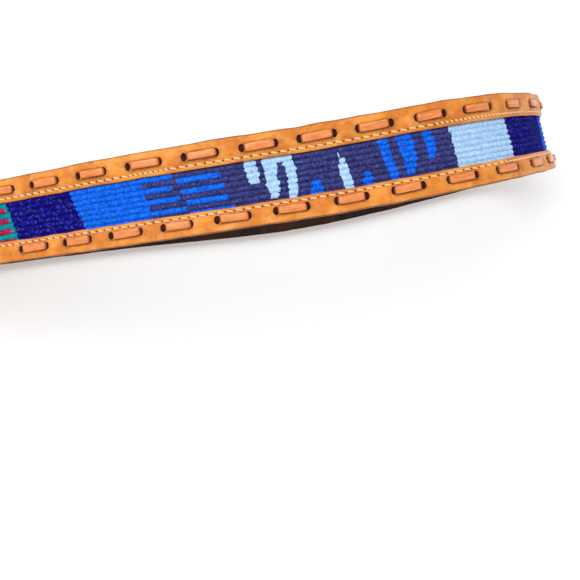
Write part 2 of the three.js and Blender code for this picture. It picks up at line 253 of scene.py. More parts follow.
@dataclass
class Surface:
    """Points and faces of a piece, with values that each point or face corner carries."""

    points: np.ndarray
    faces: np.ndarray
    caps: list[list[int]] = field(default_factory=list)
    uvs: dict[str, np.ndarray] = field(default_factory=dict)
    values: dict[str, np.ndarray] = field(default_factory=dict)
    colours: dict[str, np.ndarray] = field(default_factory=dict)

    def trimmed(self) -> "Surface":
        """The same open-ended surface without points that no face uses."""
        used = np.zeros(len(self.points), bool)
        used[self.faces.ravel()] = True
        new = np.cumsum(used) - 1
        return Surface(
            self.points[used],
            new[self.faces],
            uvs={name: uv[used] for name, uv in self.uvs.items()},
            values={name: value[used] for name, value in self.values.items()},
        )

    def facing_out(self) -> "Surface":
        """The same closed surface with its faces turned outwards, by the sign of its volume."""
        a, b, c, d = (self.points[self.faces[:, i]] for i in range(4))
        halves = np.einsum("ij,ij->", a, np.cross(b, c)), np.einsum("ij,ij->", a, np.cross(c, d))
        if sum(halves) < 0:
            self.faces = self.faces[:, ::-1]
            self.caps = [cap[::-1] for cap in self.caps]
        return self

    def to_object(
        self, name: str, material: bpy.types.Material, crease: float = 50.0
    ) -> bpy.types.Object:
        """Makes the Blender object.

        Args:
            name: The object's name.
            material: Its material.
            crease: Angle in degrees past which an edge is shaded sharp.

        Returns:
            The new object, linked to the scene.
        """
        mesh = bpy.data.meshes.new(name)
        mesh.from_pydata(self.points.tolist(), [], self.faces.tolist() + self.caps)
        corners = np.zeros(len(mesh.loops), np.int64)
        mesh.loops.foreach_get("vertex_index", corners)
        for uv_name, uv in self.uvs.items():
            layer = mesh.uv_layers.new(name=uv_name)
            layer.data.foreach_set("uv", uv[corners].astype(np.float32).ravel())
        for value_name, value in self.values.items():
            attribute = mesh.attributes.new(value_name, "FLOAT", "POINT")
            attribute.data.foreach_set("value", value.astype(np.float32))
        for colour_name, colour in self.colours.items():
            attribute = mesh.color_attributes.new(colour_name, "FLOAT_COLOR", "CORNER")
            full = np.ones((len(mesh.loops), 4), np.float32)
            flat = colour.reshape(-1, 4)
            full[: len(flat)] = flat
            attribute.data.foreach_set("color", full.ravel())
        mesh.materials.append(material)
        mesh.polygons.foreach_set("use_smooth", np.ones(len(mesh.polygons), bool))
        mesh.set_sharp_from_angle(angle=math.radians(crease))
        mesh.validate()
        mesh.update()
        piece = bpy.data.objects.new(name, mesh)
        bpy.context.scene.collection.objects.link(piece)
        return piece


def joined(surfaces: list[Surface]) -> Surface:
    """Several surfaces as one, without the values that they carry."""
    starts = np.cumsum([0] + [len(s.points) for s in surfaces])
    return Surface(
        np.concatenate([s.points for s in surfaces]),
        np.concatenate([s.faces + start for s, start in zip(surfaces, starts)]),
        [[i + int(start) for i in cap] for s, start in zip(surfaces, starts) for cap in s.caps],
    )


def grid_faces(numbers: np.ndarray) -> np.ndarray:
    """Four corners of every cell of a grid of point numbers, as (rows, columns, 4)."""
    near, far = numbers[:-1], numbers[1:]
    return np.stack((near[:, :-1], far[:, :-1], far[:, 1:], near[:, 1:]), axis=-1)


def tube(points: np.ndarray, closed: bool = False) -> Surface:
    """A closed section carried along a path: row i is the section at step i.

    Args:
        points: (steps, corners, 3) points.
        closed: True where the last section joins the first.

    Returns:
        The tube, with flat ends unless it is closed.
    """
    steps, corners = points.shape[:2]
    numbers = np.arange(steps * corners).reshape(steps, corners)
    rows = np.concatenate((numbers, numbers[:1])) if closed else numbers
    wrapped = np.concatenate((rows, rows[:, :1]), axis=1)
    caps = [] if closed else [numbers[0].tolist(), numbers[-1, ::-1].tolist()]
    return Surface(points.reshape(-1, 3), grid_faces(wrapped).reshape(-1, 4), caps)


def tubes(points: np.ndarray) -> Surface:
    """Many open tubes at once, from (tubes, steps, corners, 3) points."""
    count, steps, corners = points.shape[:3]
    numbers = np.arange(steps * corners).reshape(steps, corners)
    wrapped = np.concatenate((numbers, numbers[:, :1]), axis=1)
    one = grid_faces(wrapped).reshape(-1, 4)
    starts = np.arange(count)[:, None] * steps * corners
    caps = np.concatenate((starts + numbers[0], starts + numbers[-1, ::-1])).tolist()
    return Surface(points.reshape(-1, 3), (one + starts[..., None]).reshape(-1, 4), caps)


def sheet(outer: np.ndarray, inner: np.ndarray, keep: np.ndarray) -> Surface:
    """A sheet with thickness: outer face, inner face and a wall along every open edge.

    Args:
        outer: The outer face's points, as a grid.
        inner: The inner face's points, as a grid of the same shape.
        keep: Which cells of the grid are there.

    Returns:
        The sheet, with the outer face's points first.
    """
    numbers = np.arange(outer[..., 0].size).reshape(outer.shape[:2])
    below = numbers.size
    top = grid_faces(numbers)[keep]
    edges = np.concatenate([top[:, [i, (i + 1) % 4]] for i in range(4)])
    key = np.sort(edges, axis=1)
    _, index, counts = np.unique(key, axis=0, return_index=True, return_counts=True)
    a, b = edges[index[counts == 1]].T
    wall = np.stack((b, a, a + below, b + below), axis=1)
    points = np.concatenate((outer.reshape(-1, 3), inner.reshape(-1, 3)))
    return Surface(points, np.concatenate((top, top[:, ::-1] + below, wall)))


def laid_out(distance: np.ndarray, across: np.ndarray) -> np.ndarray:
    """UV coordinates in metres, from distances along a piece and places across it."""
    return np.stack(np.broadcast_arrays(distance, across), -1).reshape(-1, 2) * MM


def wound(run: np.ndarray, turn: np.ndarray, shape: tuple[int, ...]) -> np.ndarray:
    """A thread's UV coordinates: how far along it, and how far round it in turns."""
    around = np.broadcast_to(turn / 2 / np.pi, shape)
    return np.stack((np.broadcast_to(run, shape), around), -1).reshape(-1, 2)


def lines_through(breaks: np.ndarray, steps: np.ndarray) -> np.ndarray:
    """Grid lines through every break, each gap in equal cells no longer than its step."""
    gaps = np.diff(breaks)
    counts = np.maximum(np.ceil(gaps / steps - 1e-6).astype(int), 1)
    width = np.repeat(gaps / counts, counts)
    order = np.arange(counts.sum()) - np.repeat(np.cumsum(counts) - counts, counts)
    return np.append(np.repeat(breaks[:-1], counts) + width * order, breaks[-1])


def round_holes(
    distance: np.ndarray, across: np.ndarray, middles: np.ndarray, row: float,
    half: tuple[float, float], reach: tuple[float, float],
) -> tuple[np.ndarray, np.ndarray]:
    """Bends a square grid so that square openings in it become ellipses.

    In units where 1 is the opening's edge and 2 the end of its reach, a point on the square ring of
    size m moves to the circle of size m, by p * sqrt(1 - (q / m)^2 / 2), in full at m = 1 and not
    at all at m = 2.

    Args:
        distance: Distances of the grid's points.
        across: Their places across.
        middles: Distances of the openings' middles.
        row: Place across of the openings' middles.
        half: Half of an opening along and across.
        reach: How far from its middle the grid bends, along and across.

    Returns:
        The new distances and places across.
    """
    nearest = middles[np.abs(distance[..., None] - middles).argmin(-1)]
    offsets = (distance - nearest, across - row)
    units = []
    for offset, a, b in zip(offsets, half, reach):
        size = np.abs(offset)
        units.append(np.sign(offset) * np.where(size <= a, size / a, 1 + (size - a) / (b - a)))
    p, q = units
    m = np.maximum(np.maximum(np.abs(p), np.abs(q)), 1e-6)
    share = np.clip(2 - m, 0, 1)
    bent = (p * np.sqrt(1 - (q / m) ** 2 / 2), q * np.sqrt(1 - (p / m) ** 2 / 2))
    moved = []
    for unit, offset, a, b in zip(bent, offsets, half, reach):
        size = np.abs(unit)
        back = np.sign(unit) * np.where(size <= 1, size * a, a + (size - 1) * (b - a))
        moved.append(offset * (1 - share) + back * share)
    return nearest + moved[0], row + moved[1]


Inputs = dict[str | int, object] | tuple[object, ...]
EASED = {"interpolation_type": "SMOOTHSTEP"}
COLOURS = {"data_type": "RGBA"}
TIMES = {"operation": "MULTIPLY"}
PLUS = {"operation": "ADD"}
MINUS = {"operation": "SUBTRACT"}


def plug(node: bpy.types.Node, inputs: Inputs) -> None:
    """Links each input to its socket or sets its value; a tuple fills the inputs in order."""
    for key, value in inputs.items() if isinstance(inputs, dict) else enumerate(inputs):
        if isinstance(value, bpy.types.NodeSocket):
            node.id_data.links.new(value, node.inputs[key])
        else:
            node.inputs[key].default_value = value


def add_node(
    tree: bpy.types.NodeTree, kind: str, output: str | int, inputs: Inputs = (), **settings: object
) -> bpy.types.NodeSocket:
    """Adds a node with its settings and links.

    Args:
        tree: The node tree.
        kind: The node's type, without its first word.
        output: Name or number of the wanted output.
        inputs: For each input, a value, or an output socket to link to it.
        settings: Attributes to set on the node.

    Returns:
        The wanted output.
    """
    node = tree.nodes.new("ShaderNode" + kind)
    for name, value in settings.items():
        setattr(node, name, value)
    plug(node, inputs)
    return node.outputs[output]


@dataclass(frozen=True)
class Finish:
    """What every finish has: a name, a roughness and a principled shader to hang its nodes on."""

    name: str
    roughness: float

    def start(self) -> tuple[bpy.types.Material, partial, bpy.types.NodeSocket]:
        """A new material, what adds a node to it, and the coordinates of its object."""
        material = bpy.data.materials.new(self.name)
        material.use_nodes = True
        add = partial(add_node, material.node_tree)
        self.dress(material, {"Roughness": self.roughness})
        return material, add, add("TexCoord", "Object")

    def dress(self, material: bpy.types.Material, inputs: Inputs) -> bpy.types.Material:
        """Gives the material's shader its colour, relief and gloss."""
        plug(material.node_tree.nodes["Principled BSDF"], inputs)
        return material


# Vegetable-tanned cowhide, cut and burnished by hand: the eye sees a warm tan clouded by the hide,
# a soft satin light, a pebbled grain, dark rims where it was cut, punched and rubbed, and painted
# shade beside the laces and inside the holes.
@dataclass(frozen=True)
class BorderLeather(Finish):
    """Tan veg-tanned leather: mottled, satin, with a fine grain and darker, worn edges."""

    light: str = "#E59032"
    deep: str = "#CE751D"
    worn_and_shaded: str = "#6E370E"
    scuffs_and_highlights: str = "#FFCB98"
    needle_hole_shade: str = "#44200A"
    needle_hole: float = 0.42
    needle_pitch: float = 3.9

    def material(self) -> bpy.types.Material:
        """Clouds 11 mm wide, spots, pale specks, creases and 0.7 mm grain; marks of use and painted
        shade from the piece itself.

        Real grain is nearer 0.3 mm, too fine to show in the render, so it is drawn coarser.
        """
        material, add, where = self.start()
        here = {"Vector": where, "Detail": 3.0}
        broad = add("TexNoise", "Fac", {"Vector": where, "Scale": 1000 / 11, "Detail": 5})
        spots = add("TexNoise", "Fac", {"Vector": where, "Scale": 1000 / 2.6, "Detail": 4})
        flakes = add("TexNoise", "Fac", {**here, "Scale": 1000 / 4.5})
        wear = add("Attribute", "Fac", attribute_name="wear")
        blotching = add("MapRange", 0, (spots, 0.2, 0.6, 0.65, 1.0), **EASED)
        needle = self.needle_holes(add)
        colour = linear(self.deep)
        for share, over in (
            (add("MapRange", 0, (broad, 0.38, 0.62), **EASED), self.light),
            (add("MapRange", 0, (spots, 0.52, 0.76, 0.0, 0.28), **EASED), self.worn_and_shaded),
            # Pale specks: partly scuffs, partly painted highlights on the grain.
            (add("MapRange", 0, (flakes, 0.52, 0.72, 0.0, 0.16), **EASED), self.scuffs_and_highlights),
            # The darker colour on the mesh's mask: marks of use at edges and holes, plus painted shade
            # by the laces and in the holes.
            (add("Math", 0, (wear, blotching), **TIMES), self.worn_and_shaded),
            # Painted shade inside the needle holes.
            (needle, self.needle_hole_shade),
        ):
            colour = add("Mix", 2, {0: share, 6: colour, 7: linear(over)}, **COLOURS)
        along_belt = add("UVMap", "UV", uv_map="belt")
        drawn = add("Mapping", 0, {"Vector": along_belt, "Scale": (0.16, 1.0, 1.0)})
        creases = add("TexNoise", "Fac", {"Vector": drawn, "Detail": 3, "Scale": 1000 / 0.9})
        grain = add("TexVoronoi", "Distance", {"Vector": where, "Scale": 1000 / 0.7})
        swells = add("TexNoise", "Fac", {**here, "Scale": 1000 / 2.4})
        crackle = add("TexNoise", "Fac", {"Vector": where, "Detail": 2, "Scale": 1000 / 1.1})
        height = add("Math", 0, (add("Math", 0, (grain, 0.5), **TIMES), creases), **PLUS)
        height = add("Math", 0, (height, add("Math", 0, (swells, 2.2), **TIMES)), **PLUS)
        wrinkles = add("Math", 0, (crackle, add("Math", 0, (wear, 4.0), **TIMES)), **TIMES)
        height = add("Math", 0, (height, wrinkles), **PLUS)
        height = add("Math", 0, (height, add("Math", 0, (needle, 1.5), **TIMES)), **MINUS)
        patches = add("TexNoise", "Fac", {**here, "Scale": 1000 / 5})
        smooth, dull = self.roughness - 0.08, self.roughness + 0.1
        return self.dress(material, {
            "Base Color": colour,
            "Normal": add("Bump", 0, {"Height": height, "Strength": 0.75, "Distance": 0.00034}),
            "Roughness": add("MapRange", 0, (patches, 0.3, 0.7, smooth, dull), **EASED),
            "Coat Weight": 0.06,
            "Coat Roughness": 0.28,
            "Specular IOR Level": 0.3,
        })

    def needle_holes(self, add: partial) -> bpy.types.NodeSocket:
        """1 inside the seam's needle holes, which lie at whole numbers of its own UV map; they are
        painted dark as the shade in each hole.
        """
        seam = add("SeparateXYZ", 0, (add("UVMap", "UV", uv_map="seam"),))
        phase = add("Math", 0, (add("Math", 0, (seam, 0.5), **PLUS), 0.0), operation="FRACT")
        centred = add("Math", 0, (phase, 0.5), **MINUS)
        along = add("Math", 0, (centred, self.needle_pitch), **TIMES)
        off = add("CombineXYZ", 0, (along, seam.node.outputs[1], 0.0))
        far = add("VectorMath", "Value", (off,), operation="LENGTH")
        return add("MapRange", 0, (far, self.needle_hole, self.needle_hole * 0.6, 0.0, 1.0), **EASED)


# A thong cut from tan hide and pulled tight: the eye sees it pinker and glossier than the borders,
# streaked along its length, and lost in shadow where it dives into a hole.
@dataclass(frozen=True)
class ThongLeather(Finish):
    """The lace's leather: pinker, glossier, drawn lengthways, dull in its holes, with painted shade
    where it dives into them and along its lower side.
    """

    light: str = "#E98C42"
    deep: str = "#C66626"
    worn_and_shaded: str = "#2C161C"

    def material(self) -> bpy.types.Material:
        """Streaks 0.8 mm wide on the lace's own UV map, fine grain on its object's coordinates."""
        material, add, where = self.start()
        along_belt = add("UVMap", "UV", uv_map="belt")
        drawn = add("Mapping", 0, {"Vector": along_belt, "Scale": (0.14, 1.0, 1.0)})
        streaks = add("TexNoise", "Fac", {"Vector": drawn, "Detail": 3, "Scale": 1000 / 0.8})
        grain = add("TexNoise", "Fac", {"Vector": where, "Detail": 3, "Scale": 1000 / 1.6})
        share = add("MapRange", 0, (streaks, 0.2, 0.75), **EASED)
        hide = {0: share, 6: linear(self.deep), 7: linear(self.light)}
        wear = add("Attribute", "Fac", attribute_name="wear")
        shadowed = {0: wear, 6: add("Mix", 2, hide, **COLOURS), 7: linear(self.worn_and_shaded)}
        height = add("Math", 0, (streaks, add("Math", 0, (grain, 1.2), **TIMES)), **PLUS)
        return self.dress(material, {
            "Base Color": add("Mix", 2, shadowed, **COLOURS),
            "Normal": add("Bump", 0, {"Height": height, "Strength": 0.5, "Distance": 0.0002}),
            "Coat Weight": add("MapRange", 0, (wear, 0.0, 0.6, 0.3, 0.0), **EASED),
            "Specular IOR Level": add("MapRange", 0, (wear, 0.0, 0.6, 0.5, 0.03), **EASED),
            "Coat Roughness": 0.2,
        })


# Waxed cotton or linen thread, twisted from a few plies: the eye sees cream rope with slanting shade.
@dataclass(frozen=True)
class SewingThread(Finish):
    """Waxed cream thread with its ply twisted round it."""

    colour: str = "#FFD7A8"
    shade: str = "#DDA068"

    def material(self) -> bpy.types.Material:
        """Slanting plies on the stitch's own UV map."""
        material, add, _ = self.start()
        twist = {"Vector": add("UVMap", "UV", uv_map="ply"), "Scale": 1.3, "Distortion": 0.6}
        wave = add("TexWave", "Fac", twist, bands_direction="DIAGONAL")
        plies = {0: wave, 6: linear(self.shade), 7: linear(self.colour)}
        return self.dress(material, {
            "Base Color": add("Mix", 2, plies, **COLOURS),
            "Normal": add("Bump", 0, {"Height": wave, "Strength": 0.4, "Distance": 0.0001}),
        })


# Drum-dyed dark brown lining hide, flesh side in, darkened further as painted shade from inside the
# loop: the eye sees near-black brown, dull, faintly clouded.
@dataclass(frozen=True)
class LiningLeather(Finish):
    """Dark brown lining leather: dull, pored and slightly scuffed."""

    light: str = "#341A08"
    deep: str = "#1E0E05"

    def material(self) -> bpy.types.Material:
        """Clouds 9 mm wide and pores 0.9 mm apart, drawn coarser than real ones so that they show."""
        material, add, where = self.start()
        broad = add("TexNoise", "Fac", {"Vector": where, "Detail": 4, "Scale": 1000 / 9})
        clouds = add("MapRange", 0, (broad, 0.35, 0.65), **EASED)
        dyed = {0: clouds, 6: linear(self.deep), 7: linear(self.light)}
        pores = add("TexVoronoi", "Distance", {"Vector": where, "Scale": 1000 / 0.9})
        swells = add("TexNoise", "Fac", {"Vector": where, "Detail": 3, "Scale": 1000 / 2})
        height = add("Math", 0, (pores, swells), **PLUS)
        return self.dress(material, {
            "Base Color": add("Mix", 2, dyed, **COLOURS),
            "Normal": add("Bump", 0, {"Height": height, "Strength": 0.5, "Distance": 0.0003}),
            "Specular IOR Level": 0.15,
        })


# Dyed wool beaten down over its warp: the eye sees deep, matt colour with a soft fuzz of fibres.
@dataclass(frozen=True)
class WoolWeave(Finish):
    """Weft-faced wool: each bead its own shade of its yarn, with fibres over it."""

    def material(self) -> bpy.types.Material:
        """Yarn colours with painted valley shade from the mesh; fibres 0.5 mm wide, coarser than real
        ones so that they show.
        """
        material, add, where = self.start()
        spun = {"Vector": add("UVMap", "UV", uv_map="belt"), "Scale": (2.2, 0.5, 1.0)}
        slanted = add("Mapping", 0, {**spun, "Rotation": (0, 0, 0.5)})
        fibres = add("TexNoise", "Fac", {"Vector": slanted, "Detail": 3, "Scale": 1000 / 0.5})
        fuzz = add("TexNoise", "Fac", {"Vector": where, "Detail": 2, "Scale": 1000 / 0.35})
        light = add("MapRange", 0, (fibres, 0.3, 0.7, 0.78, 1.22), **EASED)
        yarn = add("Attribute", "Color", attribute_name="yarn")
        shaded = {0: 1.0, 6: yarn, 7: add("CombineXYZ", 0, (light, light, light))}
        height = add("Math", 0, (fibres, fuzz), **PLUS)
        return self.dress(material, {
            "Base Color": add("Mix", 2, shaded, blend_type="MULTIPLY", **COLOURS),
            "Normal": add("Bump", 0, {"Height": height, "Strength": 0.6, "Distance": 0.00015}),
            "Specular IOR Level": 0.05,
        })


# Cast brass, brushed and a little tarnished: the eye sees warm gold with soft, streaked light.
@dataclass(frozen=True)
class SatinBrass(Finish):
    """Brushed brass, slightly tarnished, with fine scratches."""

    light: str = "#D2A95E"
    deep: str = "#9C7434"

    def material(self) -> bpy.types.Material:
        """Tarnish 6 mm wide, scratches 0.35 mm wide so that they show."""
        material, add, where = self.start()
        broad = add("TexNoise", "Fac", {"Vector": where, "Detail": 4, "Scale": 1000 / 6})
        tarnish = add("MapRange", 0, (broad, 0.4, 0.7), **EASED)
        metal = {0: tarnish, 6: linear(self.light), 7: linear(self.deep)}
        brushed = add("Mapping", 0, {"Vector": where, "Scale": (1.0, 0.08, 1.0)})
        scratches = add("TexNoise", "Fac", {"Vector": brushed, "Detail": 2, "Scale": 1000 / 0.35})
        smooth, dull = self.roughness - 0.07, self.roughness + 0.12
        return self.dress(material, {
            "Base Color": add("Mix", 2, metal, **COLOURS),
            "Roughness": add("MapRange", 0, (scratches, 0.3, 0.7, smooth, dull), **EASED),
            "Normal": add("Bump", 0, {"Height": scratches, "Strength": 0.3, "Distance": 0.00005}),
            "Metallic": 1.0,
        })


def set_in_belt(piece: bpy.types.Object, slot: str, *nodes: str) -> None:
    """Makes a piece ride on the belt and stand for its CAD nodes.

    Args:
        piece: The finished piece.
        slot: Material slot of the record; not used.
        nodes: CAD nodes that it replaces, if any.
    """
    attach(piece, "root")
    if nodes:
        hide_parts(*nodes)
    LOG.info("%s: %d faces", piece.name, len(piece.data.polygons))


@dataclass(frozen=True)
class Figure:
    """One patch of yarn: its starts and ends on the eight ribs, in mm from the band's start."""

    yarn: Yarn
    starts: tuple[float, ...]
    ends: tuple[float, ...]


NONE = math.inf
GROUND = 1e4
TO_THE_NEXT = (GROUND,) * 8
FIGURES = (
    Figure(Yarn.TEAL, (-20,) * 8, TO_THE_NEXT),
    Figure(
        Yarn.CRIMSON, (NONE, -20, NONE, -20, NONE, -20, NONE, -20),
        (0, 11.0, 0, 12.2, 0, 13.1, 0, 14.6),
    ),
    Figure(Yarn.NAVY, (12.0, 12.6, 13.2, 13.7, 14.3, 14.9, 15.5, 16.1), TO_THE_NEXT),
    Figure(Yarn.BLUE, (48.3, 49.1, 49.8, 50.7, 51.5, 52.4, 53.2, 54.0), TO_THE_NEXT),
    Figure(
        Yarn.CHARCOAL, (98.4, 84.2, 97.4, 85.0, 100.2, 86.3, 102.6, 87.2),
        (GROUND, 100.0, GROUND, 101.3, GROUND, 103.2, GROUND, 104.0),
    ),
    Figure(Yarn.CHARCOAL, (118.2, 118.9, 119.2, 119.9, 120.4, 120.8, 121.8, 123.0), TO_THE_NEXT),
    Figure(
        Yarn.PALE, (129.0, 129.4, 129.8, 130.3, NONE, NONE, NONE, NONE),
        (134.2, 134.6, 135.1, 134.9, 0, 0, 0, 0),
    ),
    Figure(
        Yarn.PALE, (136.6, 137.0, 137.2, 137.4, 137.2, 137.7, 138.4, NONE),
        (149.4, 143.0, 142.6, 142.3, 142.9, 142.8, 141.9, 0),
    ),
    Figure(
        Yarn.PALE, (NONE, 145.5, 146.2, 146.4, 146.4, 146.3, 146.2, 146.2),
        (0, 149.9, 150.6, 150.5, 150.2, 150.5, 150.1, 149.6),
    ),
    Figure(
        Yarn.BLUE, (NONE, NONE, NONE, NONE, NONE, 156.1, 155.3, 154.8),
        (0, 0, 0, 0, 0, 160.0, 160.7, 161.0),
    ),
    Figure(
        Yarn.PALE, (NONE, 168.6, 168.8, 168.1, 168.2, 168.6, 169.1, 169.5),
        (0, 169.3, 171.4, 172.0, 172.5, 172.9, 173.2, 173.4),
    ),
    Figure(
        Yarn.BLUE, (NONE, NONE, NONE, NONE, NONE, 178.2, 177.6, 177.2),
        (0, 0, 0, 0, 0, 181.1, 181.6, 182.0),
    ),
    Figure(
        Yarn.BLUE, (185.9, 186.2, 186.5, 187.1, 187.7, 188.2, 188.8, 189.3),
        (190.2, 190.5, 190.8, 191.1, 191.6, 192.2, 192.6, 192.9),
    ),
    Figure(
        Yarn.BLUE, (193.6, 194.1, 194.5, 194.9, 195.2, 195.5, 196.0, NONE),
        (200.4, 201.0, 201.2, 201.3, 201.2, 200.6, 199.6, 0),
    ),
    Figure(
        Yarn.BLUE, (204.9, 205.3, 205.8, 206.1, 206.4, NONE, NONE, NONE),
        (209.3, 210.0, 210.4, 210.1, 209.2, 0, 0, 0),
    ),
    Figure(Yarn.NAVY, (235.0,) * 8, TO_THE_NEXT),
    Figure(
        Yarn.PALE, (217.3, 218.2, 217.8, 218.6, 218.2, 219.0, 218.7, 219.2),
        (251.4, 252.0, 252.1, 252.7, 252.8, 253.3, 253.4, 253.9),
    ),
    Figure(Yarn.BLUE, (296.5, 295.6, 296.0, 295.0, 295.2, 294.2, 294.4, 293.6), TO_THE_NEXT),
)


@dataclass
class WovenBand:
    """The ribbed wool band between the borders."""

    line: LoopLine
    rib: float = 2.4
    top_rib: float = 7.2
    bead: float = 0.92
    crown: float = 0.24
    valley: float = -0.36
    bead_rise: float = 0.07
    unevenness: float = 0.45
    rib_power: float = 0.7
    slant: float = 0.35
    stray: float = 0.1
    lobe: float = 0.3
    repeat: float = 334.0
    half: float = 16.9
    margin: float = -0.1
    underside: float = -0.9
    painted_shade_between_beads: float = 0.22
    margin_painted_shade: float = 0.3
    shade_spread: float = 0.45
    fleck_share: float = 0.2
    fleck_below: float = 0.04

    def ribs(self, across: np.ndarray) -> tuple[np.ndarray, np.ndarray]:
        """The rib at each place across, 0 at the top to 7, and the place in it, 0 at its middle."""
        rib = np.clip(np.rint((self.top_rib - across) / self.rib), 0, 7).astype(int)
        return rib, (across - (self.top_rib - self.rib * rib)) / self.rib

    def yarns(self, distance: np.ndarray, rib: np.ndarray, offset: np.ndarray) -> np.ndarray:
        """The yarn of each cell, from the figures laid over one another in order.

        A figure's ends are rounded on every rib: they draw back by lobe * (2 * offset)^2.

        Args:
            distance: Distances from the band's start, in mm.
            rib: Rib numbers, to broadcast with them.
            offset: Places in the ribs, from -0.5 to 0.5.

        Returns:
            Linear colours on the last axis.
        """
        charted = np.mod(distance + 16, self.repeat) - 16
        colour = np.zeros((*np.broadcast(charted, rib).shape, 4))
        back = self.lobe * (2 * offset) ** 2
        for figure in FIGURES:
            start, end = np.array(figure.starts)[rib] + back, np.array(figure.ends)[rib] - back
            colour[(charted >= start) & (charted < end)] = linear(figure.yarn.value)
        return colour

    def dyed(
        self, cell: np.ndarray, middle: np.ndarray, rng: np.random.Generator
    ) -> tuple[np.ndarray, np.ndarray]:
        """Colours of the cells, every tuft of yarn its own shade, with bluish flecks in dark yarn.

        Args:
            cell: Distances of the cells' middles from the band's start, as a column.
            middle: Places across of the cells' middles.
            rng: Source of the random shades.

        Returns:
            Linear colours, and how strongly each cell takes its painted shade: dark yarns the most.
        """
        rib, offset = self.ribs(middle)
        colour = self.yarns(cell, rib[None, :], np.clip(offset, -0.5, 0.5)[None, :])
        brightness = colour[..., :3] @ np.array([0.21, 0.72, 0.07])
        contrast = 1 - 0.95 * np.cbrt(brightness)
        size = len(cell), len(rib)
        tuft = ((np.arange(len(rib)) + 1) // 2)[None, :]
        bead = (np.arange(len(cell))[:, None] + 1 + tuft % 2) // 2 % len(cell)
        spread = self.shade_spread * contrast
        shade = np.exp(spread * rng.standard_normal(size)[bead, tuft])
        fleck = (rng.random(size)[bead, tuft] < self.fleck_share) & (brightness < self.fleck_below)
        bluish = np.array([0.055, 0.055, 0.14]) * (0.15 + 24 * brightness[..., None])
        colour[..., :3] *= shade[..., None]
        colour[..., :3] += np.where(fleck[..., None], bluish, 0.0)
        return colour, contrast

    def build(self, material: bpy.types.Material) -> None:
        """Ribs as half rounds across, with beads that lean one way on even ribs, the other on odd.

        Height is valley + (crown - valley) * |cos|^0.7 of the place in the rib, plus the bead's
        rise times the same. A station is sheared by slant * offset, so neighbouring ribs meet in a
        zigzag, and every bead lies a little off its place. The yarn colour carries painted shade in
        the valleys and between beads: light is 1 - contrast * shade. The margins under the borders
        and the underside are plain, and the margins also carry painted shade.

        Args:
            material: The weave's material.
        """
        count = 2 * round((BAND_END - BAND_START) / self.bead)
        station = np.linspace(BAND_START, BAND_END, count + 1)
        ridged = np.arange(INNER_TOP, INNER_BOTTOM - 0.25, -self.rib / 6)[::-1]
        margins = [-self.half, INNER_BOTTOM - 0.8], [INNER_TOP + 0.6, self.half]
        columns = np.concatenate((margins[0], ridged, margins[1]))
        rib, offset = self.ribs(columns)
        inside = (columns < INNER_TOP + 0.1) & (columns > INNER_BOTTOM - 0.3)
        bulge = np.abs(np.cos(np.pi * np.clip(offset, -0.5, 0.5))) ** self.rib_power
        round_top = np.where(inside, bulge, 0.0)
        rng = np.random.default_rng(7)
        sign = np.where((np.arange(count + 1)[:, None] + rib) % 2 == 0, 1.0, -1.0)
        uneven = 1 + self.unevenness * rng.standard_normal((count + 1, 8))[:, rib]
        swell = self.crown - self.valley + self.bead_rise * sign * uneven
        height = np.where(inside, self.valley + swell * round_top, self.margin)
        zigzag = self.slant * np.where(rib % 2 == 0, offset, -offset)
        loose = np.clip(rng.standard_normal((count + 1, 8)), -1.5, 1.5)
        stray = (self.stray * loose)[:, rib] * round_top
        distance = station[:, None] + np.where(inside, zigzag + stray, 0.0)
        distance[[0, -1]] = station[[0, -1], None]
        shadow = 1.0 - round_top + self.painted_shade_between_beads * (sign < 0) * round_top
        painted_shade = np.where(inside, shadow, self.margin_painted_shade)
        painted_shade = np.concatenate((painted_shade, np.zeros((count + 1, 2))), axis=1)
        across = np.concatenate((columns, [self.half, -self.half]))
        distance = np.concatenate((distance, np.repeat(station[:, None], 2, axis=1)), axis=1)
        height = np.concatenate((height, np.full((count + 1, 2), self.underside)), axis=1)
        surface = tube(self.line.place(distance, across[None, :], height))
        surface.uvs["belt"] = laid_out(distance, across[None, :])
        cell = (station[:-1] + station[1:])[:, None] / 2 - BAND_START
        middle = np.append((columns[:-1] + columns[1:]) / 2, [INNER_TOP, 0.0, INNER_BOTTOM])
        colour, contrast = self.dyed(cell, middle, rng)
        # Painted shade: darker yarn in the valleys, between beads and on the margins under the borders.
        light = 1 - contrast.reshape(-1, 1) * painted_shade.ravel()[surface.faces]
        corners = np.repeat(colour.reshape(-1, 1, 4), 4, axis=1)
        corners[..., :3] *= light[..., None]
        surface.colours["yarn"] = corners
        set_in_belt(surface.to_object("wool_band", material, ROUND), "woven_cloth", "woven_band")


